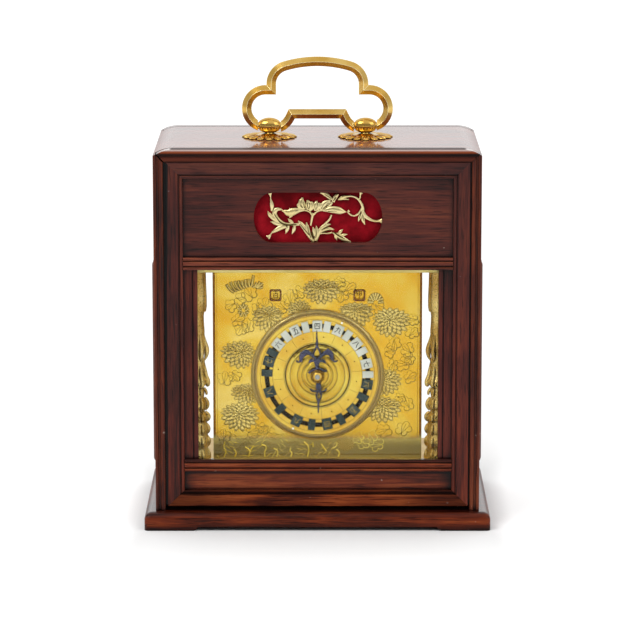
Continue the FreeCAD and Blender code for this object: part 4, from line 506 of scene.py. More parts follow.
# Brushwood shades the plate up to this height
BAND_TOP = 37.5
RIM_STEPS = 40
lines, painted_glint_strokes = [], []
for k, (x, z, size) in enumerate(LEAF_PLACES):
    lean = 2.4 * k
    rim = []
    # Five round lobes with notches between them
    for step in range(RIM_STEPS + 1):
        a = 2 * math.pi * step / RIM_STEPS
        r = size * (0.72 + 0.48 * abs(math.cos(2.5 * (a - lean))) ** 0.6 + 0.12 * math.cos(2 * a + k))
        rim.append((x + r * math.sin(a), z + r * math.cos(a), 0.13 + 0.07 * math.cos(a - 2.4)))
    # Leaves in the shaded band show as bright cuts, painted as glints
    cuts = painted_glint_strokes if z < BAND_TOP and x > 10 else lines
    cuts.append(rim)
    for spread in (-0.75, 0.0, 0.75):
        reach = size * (0.9 if spread == 0 else 0.75)
        cuts.append([(x - 0.8 * size * math.sin(lean), z - 0.8 * size * math.cos(lean), 0.11),
                     (x + reach * math.sin(lean + spread), z + reach * math.cos(lean + spread), 0.08)])
# The side-on bloom at the top left is a fan of long petals, each from its tip to its root
FAN = [
    [(-41.2, 107.9), (-39.9, 105.7), (-37.6, 104.0)], [(-39.4, 108.9), (-38.3, 106.4), (-36.3, 104.5)],
    [(-37.5, 109.3), (-36.6, 106.9), (-35.0, 104.9)], [(-35.9, 109.5), (-35.2, 107.3), (-33.8, 105.4)],
    [(-34.3, 109.5), (-33.8, 107.5), (-32.7, 105.8)], [(-32.7, 110.1), (-32.5, 107.9), (-31.9, 106.3)],
    [(-31.0, 110.3), (-31.0, 108.2), (-30.7, 106.5)], [(-29.0, 112.0), (-29.4, 109.0), (-30.1, 106.5)],
    [(-27.5, 108.6), (-28.2, 107.3), (-29.2, 106.3)], [(-26.0, 109.0), (-26.8, 107.7), (-28.3, 106.3)],
    [(-24.7, 108.4), (-25.9, 107.4), (-27.9, 106.5)], [(-24.6, 106.6), (-26.0, 106.3), (-27.6, 106.4)]]
# Two buds, each a tuft of short petals: the middle, the reach across and up, the first and last lean
BUDS = [(-33.6, 95.8, 2.6, 3.2, -150, 150), (26.4, 99.4, 3.7, 4.6, -85, 85)]
for x, z, across, up, first, last in BUDS:
    for ring, near, far in ((9, 0.62, 1.0), (6, 0.28, 0.66)):
        for k in range(ring):
            a = math.radians(first + (last - first) * k / (ring - 1))
            FAN.append([(x + across * far * math.sin(a), z + up * far * math.cos(a)),
                        (x + across * near * math.sin(a), z + up * near * math.cos(a))])
# The fence's dull brushwood, and bright twigs painted as glints
BRUSH = [
    [(-44.8, 34.4), (-42.4, 32.7)], [(-41.0, 33.4), (-37.9, 31.2), (-35.1, 32.7), (-33.1, 34.4)],
    [(-37.2, 30.5), (-33.8, 31.9)], [(-30.0, 30.5), (-25.5, 32.7)], [(-33.1, 34.8), (-29.6, 33.7)],
    [(-23.4, 30.5), (-20.0, 32.3), (-16.5, 32.7)], [(-17.9, 29.5), (-14.5, 31.9)],
    [(-15.2, 27.7), (-12.4, 30.5)], [(-11.0, 28.4), (-6.9, 31.2)], [(-9.7, 32.7), (-5.5, 31.6)],
    [(-3.8, 29.1), (0.0, 31.2)], [(-3.5, 32.7), (-1.4, 29.8), (1.4, 30.5)], [(4.5, 29.8), (6.9, 31.2)],
    [(5.5, 34.4), (8.2, 31.9)], [(-22.7, 34.4), (-19.3, 33.7), (-15.2, 34.4)], [(-13.8, 33.7), (-9.7, 34.4)],
    [(-26.9, 27.7), (-24.1, 29.5)], [(-35.8, 27.7), (-33.1, 29.5)], [(-30.3, 27.7), (-26.9, 29.8)],
    [(-1.4, 27.7), (1.4, 29.1)], [(4.8, 27.7), (6.9, 29.5)]]
TWIGS = [
    [(-42.3, 34.4), (-42.8, 31.9), (-41.9, 30.5), (-42.7, 27.7)],
    [(-38.2, 31.2), (-37.2, 29.5), (-37.9, 27.7)], [(-33.1, 32.3), (-31.0, 30.5), (-31.6, 27.7)],
    [(-29.1, 33.0), (-30.0, 31.6), (-31.0, 29.5)],
    [(-25.5, 33.4), (-23.4, 32.3), (-24.1, 29.8), (-24.0, 27.7)],
    [(-20.0, 31.6), (-18.3, 30.5), (-18.6, 27.7)],
    [(-12.1, 31.9), (-12.5, 30.5), (-11.7, 29.5), (-12.2, 27.7)],
    [(-6.2, 34.8), (-4.3, 32.7), (-4.0, 30.5), (-4.5, 27.7)], [(-2.1, 34.4), (-1.9, 32.3)],
    [(1.7, 33.7), (4.1, 30.2)], [(8.9, 34.4), (8.6, 32.7), (7.2, 31.6)],
    [(8.6, 31.2), (10.0, 29.5), (9.5, 27.7)]]
lines += [[(x, z, 0.16) for x, z in run] for run in BRUSH]
# Fine straws between the twigs, strewn evenly over a field by multiples of fractions that never fall in step
STRAWS, FIELD_LEFT, FIELD_LOW, FIELD_WIDTH, FIELD_HEIGHT = 240, -45.5, 27.6, 56, 15.0
for k in range(STRAWS):
    x = FIELD_LEFT + FIELD_WIDTH * (k * 0.618034 % 1)
    z = FIELD_LOW + FIELD_HEIGHT * (k * 0.754878 % 1)
    # They stop at the dial, and thin out above the shaded band
    if math.hypot(x, z - DIAL_Z) < 32 or z > BAND_TOP and (x < -28 or x > 0):
        continue
    lean = math.radians(-60 + 120 * (k * 0.569840 % 1))
    reach = 1.0 + 0.8 * (k * 0.381966 % 1)
    straw = [(x - reach * math.cos(lean), z - reach * math.sin(lean), 0.07), (x, z + 0.25, 0.15),
             (x + reach * math.cos(lean), z + reach * math.sin(lean), 0.06)]
    # Every third straw in the band is painted as a glint
    (painted_glint_strokes if k % 3 == 0 and z < BAND_TOP else lines).append(straw)
painted_glint_strokes += [[(x, z, 0.36) for x, z in run] for run in TWIGS]
# Each petal of the fan is a bright bar over a wider dark one, and one bloom has a dark heart
lines += [[(x, z, 0.70) for x, z in run] for run in FAN]
lines.append([(29.2, 51.2, 0.75), (31.2, 51.2, 0.75)])
fan = [[(x, z, 0.48) for x, z in run] for run in FAN]
for name, strokes, flat, gold in (("engraved_lines", lines, 0.35, cut_line),
                                  ("engraved_fan", fan, 0.9, petal_gold),
                                  ("engraved_twigs", painted_glint_strokes, 1.0, painted_glint)):
    settled(drawn(strokes, flat), name, "case", "gilt_brass", gold, place=(0, PLATE_Y, 0))

# Calendar windows
# Two small square frames of dark copper with notched corners, and the signs on the discs that turn behind.
# The copper is a dull red-brown against the gold.
dark_copper = brass("dark_copper", ("#5A3420", "#74482C"), 0.40, 0.4, "#3A2214", 0.4)
CALENDAR_X, CALENDAR_Z, SIGN_Y = 19.0, 102.8, -17.2
NOTCHED = [(a * side, b * end) for a, b in ((2.7, 2.3), (2.3, 2.3), (2.3, 2.7))
           for side in (-1, 1) for end in (-1, 1)]
# Strokes of the two signs, about the window's middle
SIGNS = {
    "left": [[(-1.1, 1.1), (1.1, 1.1)], [(0, 1.5), (0, 0.2)], [(-1.0, 0.3), (1.0, 0.3)],
             [(-0.7, 0.2), (-0.9, -1.2)], [(0.7, 0.2), (0.9, -1.2)], [(-0.5, -0.4), (0.5, -0.4)],
             [(-0.8, -1.1), (0.8, -1.1)]],
    "right": [[(-0.9, 1.2), (0.9, 1.2)], [(-0.9, 1.2), (-0.9, -0.2)], [(0.9, 1.2), (0.9, -0.2)],
              [(-0.9, 0.5), (0.9, 0.5)], [(-0.9, -0.2), (0.9, -0.2)], [(0, 1.2), (0, -1.4)]]}
for name, x in (("left", -CALENDAR_X), ("right", CALENDAR_X)):
    bezel = disc(len(NOTCHED), 1)
    order = sorted(bezel.data.vertices, key=lambda v: math.atan2(v.co.z, v.co.x))
    corners = sorted(NOTCHED, key=lambda c: math.atan2(c[1], c[0] + 0.001))
    for v, (a, b) in zip(order, corners):
        v.co = (a * MM, 0, b * MM)
    with editing():
        bpy.ops.mesh.inset(thickness=0.65 * MM)
        bpy.ops.mesh.delete(type="FACE")
        bpy.ops.mesh.select_all(action="SELECT")
        bpy.ops.mesh.extrude_region_move(TRANSFORM_OT_translate={"value": (0, -0.35 * MM, 0)})
        bpy.ops.mesh.select_all(action="SELECT")
        bpy.ops.mesh.normals_make_consistent(inside=False)
    settled(bezel, name + "_calendar_frame", "case", "dark_metal", dark_copper,
            place=(x, PLATE_Y, CALENDAR_Z))
    sign = drawn([[(a * 1.15, b * 1.15, 0.15) for a, b in run] for run in SIGNS[name]], flat=0.5)
    settled(sign, name + "_calendar_sign", name + "_calendar", "dark_metal", dark_copper,
            place=(x, SIGN_Y, CALENDAR_Z))

# Dial
# A revolving gilt disc with a turned dish, cut rings, a dark slot for the sliding plaques, and lines and dots
# that divide the hours. Its gold is a bright mirror broken up by the rings and by fine turning marks.
DIAL_FACE, DIAL_RADIUS = -21.0, 28
# Colours from the middle outwards, by radius
RINGS = [
    (0.0, "#B9993A"), (4.6, "#C9A93E"), (5.0, "#6E5B2A"), (5.3, "#D9BF4F"), (6.8, "#C9A93F"),
    (7.1, "#7A6630"), (7.4, "#D6B847"), (8.8, "#C2A23D"), (9.1, "#867135"), (9.4, "#DABF4D"),
    (12.2, "#CBAB3F"), (12.5, "#7C6832"), (12.8, "#E0CC62"), (14.1, "#D2B44A"), (14.4, "#4E4020"),
    (14.8, "#5A4B25"), (15.0, "#DDCA67"), (15.3, "#8A7133"), (15.5, "#DDC053"), (20.2, "#DDC053"),
    (20.4, "#9A823B"), (20.6, "#DDC053"), (21.9, "#D2B44C"), (22.0, "#24211A"), (24.0, "#2B2820"),
    (24.1, "#D6B84E"), (25.8, "#DDC053"), (26.0, "#92793D"), (26.2, "#DDC053"), (27.3, "#DABC51"),
    (27.6, "#9A8240"), (28.0, "#9A8240")]
# The dish is turned with three raised beads and a step, given as (radius, depth below the face)
BEADS = [
    (6.3, 0.50), (6.6, 0.38), (7.0, 0.28), (7.4, 0.38), (7.8, 0.50), (8.6, 0.50), (8.9, 0.38), (9.2, 0.30),
    (9.5, 0.38), (9.9, 0.50), (11.6, 0.50), (12.0, 0.36), (12.4, 0.24), (12.8, 0.32), (13.2, 0.48),
    (13.8, 0.44), (14.2, 0.22), (14.5, 0.02)]
# The bezel's half-round, as (radius, height)
HALF_ROUND = [(30.4, 0.0), (30.4, 0.7), (30.1, 1.5), (29.6, 2.0), (29.0, 2.2), (28.4, 2.15), (27.8, 2.08)]


def off_middle(material):
    """How far a spot lies from the dial's middle."""
    where = add(material, "TexCoord").outputs["Object"]
    flat = add(material, "VectorMath", {0: where, 1: (1, 0, 1), 2: (0, 0, -DIAL_Z * MM)},
               operation="MULTIPLY_ADD")
    return add(material, "VectorMath", {0: flat}, operation="LENGTH")


dial_gilt = blank("turned_gilt")
away = off_middle(dial_gilt)
share = add(dial_gilt, "Math", {0: away, 1: DIAL_RADIUS * MM}, operation="DIVIDE")
gold = add(dial_gilt, "ValToRGB", {0: share}, [(r / DIAL_RADIUS, colour) for r, colour in RINGS])
# Turning marks every 0.35 mm
waves = add(dial_gilt, "Math", {0: away, 1: 2 * math.pi / (0.35 * MM)}, operation="MULTIPLY")
waves = add(dial_gilt, "Math", {0: waves}, operation="SINE")
marks = add(dial_gilt, "Bump", {"Strength": 0.05, "Distance": 0.02 * MM, "Height": waves})
feed(dial_gilt, {"Base Color": gold, "Normal": marks, "Metallic": 0.9, "Roughness": 0.22})
where = add(dial_gilt, "TexCoord").outputs["Object"]
clouds = add(dial_gilt, "TexNoise", {"Vector": where, "Scale": 1 / (12 * MM), "Detail": 3})
tint = add(dial_gilt, "ValToRGB", {0: clouds}, [(0.35, "#F2DCC0"), (0.65, "#FFFFFF")])
laid(dial_gilt, tint, 1.0, "MULTIPLY")
# The two pins that stand out of the rim are steel
striped(dial_gilt, Y, -21.1, -21.3, (0.0, "#000000"), (1.0, "#E4E6E2"), blend="LIGHTEN")
dress(dial_gilt, "dial_disc")
dish = turned(BEADS, 72)
dish.rotation_euler = (-math.pi / 2, 0, 0)
settled(dish, "turned_dish", "dial", "gilt_brass", dial_gilt, place=(0, DIAL_FACE, DIAL_Z))
# The polished half-round has painted light and shade: a bright highlight along its outer round and brown
# shade along its inner slope
bezel_gilt = blank("half_round_gilt")
share = add(bezel_gilt, "MapRange", {0: off_middle(bezel_gilt), 1: 27.8 * MM, 2: 30.4 * MM})
painted_highlight_and_shade = add(bezel_gilt, "ValToRGB", {0: share}, [
    (0.0, "#BC9C54"), (0.20, "#7A612E"), (0.42, "#806834"), (0.58, "#B89A50"), (0.72, "#E0C880"),
    (0.92, "#F8E8A8"), (1.0, "#E0C478")])
where = add(bezel_gilt, "TexCoord").outputs["Object"]
uneven = add(bezel_gilt, "TexNoise", {"Vector": where, "Scale": 1 / (8 * MM), "Detail": 1})
gloss = add(bezel_gilt, "MapRange", {0: uneven, 3: 0.22, 4: 0.30})
feed(bezel_gilt, {"Base Color": painted_highlight_and_shade, "Roughness": gloss, "Metallic": 0.65})
ring = turned(HALF_ROUND, 96)
ring.rotation_euler = (math.pi / 2, 0, 0)
settled(ring, "half_round_bezel", "case", "gilt_brass", bezel_gilt, place=(0, PLATE_Y, DIAL_Z))
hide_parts("dial_bezel")
for name, stroke, flat, turn, metal in (
        ("hour_dots", [(0, 17.72, 0.28), (0, 18.28, 0.28)], 0.3, 9, dark_copper),
        ("hour_lines", [(0, 15.6, 0.09), (0, 20.2, 0.09)], 0.5, 24, cut_line)):
    mark = drawn([stroke], flat)
    ringed(12, Y)
    mark.rotation_euler = (0, math.radians(turn), 0)
    settled(mark, name, "dial", "gilt_brass", metal, place=(0, DIAL_FACE, DIAL_Z))

# Hour plaques
# Small sliding plates: silvered ones for the hours of the day and darkened ones for the hours of the night.
# The silvered ones are satin white with black numbers, the others a slate grey with gilt numbers.
dress(brass("silvered_brass", ("#C4C6B8", "#DADBD0"), 0.42, 0.3, "#8C8C80", 0.5), "day_plaques")
dress(brass("darkened_brass", ("#3A4644", "#4A5452"), 0.42, 0.3, "#22282A", 0.5), "night_plaques")
sign_black = brass("sign_black", ("#2A2C2A", "#3A3C38"), 0.5, 0.4, "#1A1A1A", 0.3)
NUMBER_Y, NUMBER_RADIUS = -21.8, 23.0
# The numbers nine to four in brush strokes, about a plaque's middle, with up towards the rim
NUMBERS = {
    9: [[(-1.3, 0.5), (0.7, 0.8), (0.8, -0.9), (1.5, -1.0)], [(-0.3, 1.7), (-0.4, 0.2), (-1.4, -1.5)]],
    8: [[(-0.4, 1.2), (-0.7, 0.0), (-1.4, -1.3)], [(0.3, 1.4), (0.7, 0.0), (1.5, -1.3)]],
    7: [[(-1.4, 0.2), (1.4, 0.7)], [(-0.1, 1.7), (-0.2, -1.0), (0.4, -1.3), (1.4, -1.1)]],
    6: [[(0.0, 1.7), (0.1, 1.2)], [(-1.5, 0.6), (1.5, 0.6)], [(-0.5, 0.1), (-1.3, -1.5)],
        [(0.5, 0.1), (1.3, -1.5)]],
    5: [[(-1.2, 1.5), (1.2, 1.5)], [(0.1, 1.5), (-0.5, -1.4)], [(-1.0, 0.3), (0.9, 0.3), (0.7, -1.4)],
        [(-1.5, -1.5), (1.5, -1.5)]],
    4: [[(-1.3, 1.2), (1.3, 1.2)], [(-1.3, 1.2), (-1.2, -1.3)], [(1.3, 1.2), (1.2, -1.3)],
        [(-1.2, -1.2), (1.2, -1.2)], [(-0.4, 1.2), (-0.7, -0.4)], [(0.4, 1.2), (0.4, -0.2), (0.9, -0.3)]]}
# Where each numbered plaque stands, in degrees clockwise from the top
DAY_HOURS = [(309.1, 6), (334.2, 5), (359.9, 4), (24.2, 9), (49.9, 8), (76.2, 7)]
NIGHT_HOURS = [(100.2, 6), (134.5, 5), (168.8, 4), (204.2, 9), (250.7, 8), (286.5, 7)]
for name, places, slot, ink in (("day_numbers", DAY_HOURS, "dark_metal", sign_black),
                                ("night_numbers", NIGHT_HOURS, "gilt_brass", petal_gold)):
    strokes = []
    for turn, number in places:
        s, c = math.sin(math.radians(turn)), math.cos(math.radians(turn))
        for run in NUMBERS[number]:
            spots = [(0.9 * x, NUMBER_RADIUS + 0.95 * z) for x, z in run]
            strokes.append([(x * c + r * s, r * c - x * s, 0.16) for x, r in spots])
    settled(drawn(strokes, flat=0.3), name, "dial", slot, ink, place=(0, NUMBER_Y, DIAL_Z))

# Hand
# Sawn from thin steel sheet, filed, pierced and blued over heat to a dark mirror between blue and purple.
blued_steel = brass("blued_steel", ("#38424E", "#4E4C62"), 0.24, 0.4, "#232832", 0.5)
HAND_Y, COLLET_Y = -23.25, -23.6
# The needle, open drops, leafy arms and curls as runs of (x, z, half-width) about the dial's middle
HAND_RUNS = [
    [(-0.3, 21.3, 0.17), (-0.3, 18.4, 0.29), (-0.2, 16.0, 0.43), (-0.2, 14.1, 0.69)],
    [(-0.3, 14.4, 0.43), (-1.0, 12.5, 0.40), (-1.6, 11.0, 0.38), (-1.9, 9.9, 0.38), (-1.3, 8.8, 0.43),
     (-0.2, 7.7, 0.58)],
    [(-0.1, 14.4, 0.43), (0.6, 12.5, 0.40), (1.2, 11.0, 0.38), (1.4, 9.9, 0.38), (0.9, 8.8, 0.43),
     (-0.1, 7.7, 0.58)],
    [(-0.2, 8.3, 0.81), (-0.2, 6.8, 1.22), (-0.2, 5.4, 0.98), (-0.2, 3.9, 0.69), (-0.1, 2.3, 0.58)],
    [(-0.4, 7.6, 0.46), (-1.6, 8.9, 0.58), (-2.9, 10.2, 0.72), (-4.5, 11.0, 1.16), (-5.9, 10.7, 1.39),
     (-7.0, 9.5, 1.16), (-7.4, 7.7, 0.75), (-6.8, 6.5, 0.17)],
    [(-3.9, 11.1, 0.52), (-4.9, 11.9, 0.64), (-5.9, 12.2, 0.23)],
    [(-6.1, 10.7, 0.75), (-7.4, 10.7, 0.58), (-7.9, 10.1, 0.23)],
    [(-7.4, 8.2, 0.46), (-8.3, 6.7, 0.41), (-9.1, 6.8, 0.41), (-9.5, 7.5, 0.43)],
    [(0.1, 7.6, 0.46), (1.3, 8.9, 0.58), (2.6, 10.2, 0.72), (4.2, 11.1, 1.21), (5.7, 10.8, 1.33),
     (6.4, 9.5, 1.04), (6.7, 7.9, 0.69), (7.1, 7.1, 0.23)],
    [(3.6, 11.3, 0.52), (4.5, 12.1, 0.69), (5.5, 12.8, 0.23)],
    [(5.9, 10.8, 0.75), (6.8, 10.4, 0.46), (7.1, 9.5, 0.17)],
    [(6.7, 7.8, 0.43), (7.8, 6.9, 0.41), (8.7, 7.1, 0.41), (9.0, 7.7, 0.41)],
    [(-0.3, 6.5, 0.52), (-1.9, 7.3, 0.64), (-3.2, 7.0, 0.72), (-3.9, 6.4, 0.46)],
    [(-0.0, 6.5, 0.52), (1.6, 7.3, 0.64), (2.9, 7.0, 0.72), (3.7, 6.2, 0.41)],
    [(-0.2, 3.5, 0.46), (-1.9, 2.9, 0.43), (-3.2, 2.1, 0.46), (-4.0, 1.5, 0.58)],
    [(-0.1, 3.8, 0.46), (1.6, 3.4, 0.43), (3.1, 2.5, 0.52), (4.3, 2.5, 0.58)],
    [(0.3, -2.6, 0.70), (0.5, -4.3, 1.22), (0.6, -5.7, 1.16), (0.6, -7.1, 0.70)],
    [(0.3, -6.5, 0.46), (-1.3, -7.0, 0.46), (-2.6, -6.6, 0.43), (-3.2, -5.7, 0.46)],
    [(0.7, -6.5, 0.46), (2.2, -7.1, 0.46), (3.6, -6.6, 0.43), (4.2, -5.7, 0.46)],
    [(0.4, -7.1, 0.43), (-0.4, -8.4, 0.38), (-0.4, -9.7, 0.38), (0.4, -11.2, 0.46)],
    [(0.8, -7.1, 0.43), (1.7, -8.3, 0.38), (1.6, -9.7, 0.38), (0.7, -11.2, 0.46)],
    [(0.5, -10.6, 0.52), (0.4, -13.0, 0.41), (0.4, -15.1, 0.35), (0.4, -17.0, 0.29)]]
hand = settled(drawn(HAND_RUNS, flat=0.32), "pierced_hand", "case", "blued_steel", blued_steel,
               place=(0, HAND_Y, DIAL_Z))
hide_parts("hand")
# The collet that holds it is a turned bun on a washer, from (radius, height), bright on top, with brown shade
# painted at its foot
BUN = [(3.1, 0.0), (3.1, 0.2), (2.6, 0.42), (2.3, 0.36), (2.25, 0.7), (1.9, 1.2), (1.3, 1.42), (0.9, 1.35)]
polished_gilt = brass("polished_gilt", ("#C8A040", "#E0BE60"), 0.2, 0.6, "#4E3A18", 0.9)
striped(polished_gilt, Y, -23.9, -24.4, (0.0, "#7A6234"), (1.0, "#FFFFFF"))
bun = turned(BUN, 32)
bun.rotation_euler = (math.pi / 2, 0, 0)
settled(bun, "turned_collet", "case", "brass", polished_gilt, place=(0, COLLET_Y, DIAL_Z))
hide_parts("hand_collet")

# Back panel
# A mitred rosewood frame with one large pane, which lifts out for winding.
dress(rosewood("rosewood_frame_upright", Z, DARK_WOOD), "back_frame")
dress(rosewood("rosewood_frame_level", X, DARK_WOOD), "back_top_moulding")

# Front panel
# A mitred and beaded rosewood frame with two cross rails, a board above and a narrow board below the window.
# It slides in the posts' grooves; its wood is cool and dark at the top and warmer towards the floor.
STILE_WOOD = ("#290F0B", "#501E16", "#66291B", "#7E3820")
LOW_WOOD = ("#2C0F08", "#5A2212", "#763016", "#924824")
for name in ("front_left_stile", "front_right_stile"):
    stile = rosewood(name.replace("front", "rosewood"), Z, STILE_WOOD)
    if name == "front_left_stile":
        # The panel leans a little to the right, so the top of its left edge lies in the shadow of the post
        striped(stile, (1, 0, -0.0154), -69.4, -68.4, (0.0, "#060303"), (0.5, "#060303"),
                (0.8, "#FFFFFF"))
    striped(stile, Z, 10.0, 165.0, (0.0, "#FFF2E4"), (0.3, "#F4F4F4"), (1.0, "#C8D6F4"))
    dress(stile, name)
dress(rosewood("rosewood_fillet", Z, ("#1F0908", "#40160F", "#531E14", "#682C1D")), "glazing_fillets")
dress(rosewood("rosewood_top_rail", X, ("#1F0D0C", "#3B1916", "#4C221C", "#5F3022")), "front_top_rail")
dress(rosewood("rosewood_cross_rail", X, ("#2C120D", "#54241A", "#6A3124", "#83422C"), worn_and_lit="#8E4824"),
      "upper_cross_rail")
dress(rosewood("rosewood_board", X, DARK_WOOD), "upper_panel")
# The crown moulding's light and shade are painted across its height: a pale highlight along its top arris, an
# orange band on the bead below, and black shade in the groove and at its foot
crown = rosewood("rosewood_crown", X, RED_WOOD, shine=0.12)
striped(crown, Z, 166.8, 172.4, (0.0, "#0C0605"), (0.08, "#30120A"), (0.14, "#4C2014"),
        (0.42, "#54241A"), (0.48, "#0E0806"), (0.70, "#140B09"), (0.75, "#7A3412"), (0.86, "#8A4018"),
        (0.91, "#BCA8A2"), (0.98, "#C8B6B0"), (0.995, "#2A1412"), blend="MIX", share=0.8)
striped(crown, Z, 166.8, 172.4, (0.98, "#FFFFFF"), (0.995, "#000000"), socket="Coat Weight")
dress(crown, "front_top_moulding")
# Low down, the rail is painted darker along its top and at its foot under the bead, as shade
low_rail = rosewood("rosewood_low_rail", X, LOW_WOOD, worn_and_lit="#9C4E24")
striped(low_rail, Z, 25.4, 31.6, (0.0, "#BCA8A0"), (0.15, "#BCA8A0"), (0.22, "#FFFFFF"),
        (0.74, "#FFFFFF"), (0.81, "#B89C90"), (0.95, "#6E5850"))
dress(low_rail, "lower_cross_rail")
low_board = rosewood("rosewood_low_board", X, LOW_WOOD, worn_and_lit="#9C4E24")
# The lower board is painted darker at the top, as the cross rail's shadow, and a little darker at its foot
striped(low_board, Z, 17.4, 25.6, (0.0, "#D8CCC6"), (0.12, "#FFFFFF"), (0.82, "#FFFFFF"),
        (0.90, "#A08C84"), (0.97, "#6A4E46"))
bottom_rail = rosewood("rosewood_bottom_rail", X, ("#3E180F", "#7A3519", "#984A24", "#AC5C2E"),
                       worn_and_lit="#A85826", shine=0.08)
# The bottom rail is painted dark near its top, as shade in the groove along it, and a little darker at its
# foot
striped(bottom_rail, Z, 9.0, 17.8, (0.0, "#E4D6CC"), (0.55, "#FFFFFF"), (0.74, "#FFFFFF"),
        (0.79, "#7A6660"), (0.86, "#4A3C38"), (0.92, "#806C66"), (1.0, "#A09088"))
# Both are painted darker at their ends: shade on the lower board, and a darker tone on the bottom rail
for side in (-1, 1):
    striped(low_board, X, side * 59.5, side * 54.0, (0.0, "#8C7C76"), (1.0, "#FFFFFF"))
    striped(bottom_rail, X, side * 66.0, side * 30.0, (0.0, "#A09A9C"), (0.4, "#AAA4A6"),
            (1.0, "#FFFFFF"))
dress(low_board, "lower_panel")
dress(bottom_rail, "front_bottom_rail")

# Fret
# A scroll of flowers sawn from pale sheet brass, rounded with files and chased, in front of red silk.
# The brass is a soft cream-coloured mirror, and the chased lines are dark.
pale_brass = brass("pale_fret_brass", ("#DCC88C", "#E8D8A4"), 0.34, 0.4, "#6B5A30", 0.6)
chase_dark = brass("chased_line", ("#4E4222", "#62542C"), 0.5, 0.4, "#332B16", 0.4)
OVAL_X, OVAL_Z, FRET_Y, CHASE_Y = 0.3, 141.75, -37.85, -38.3
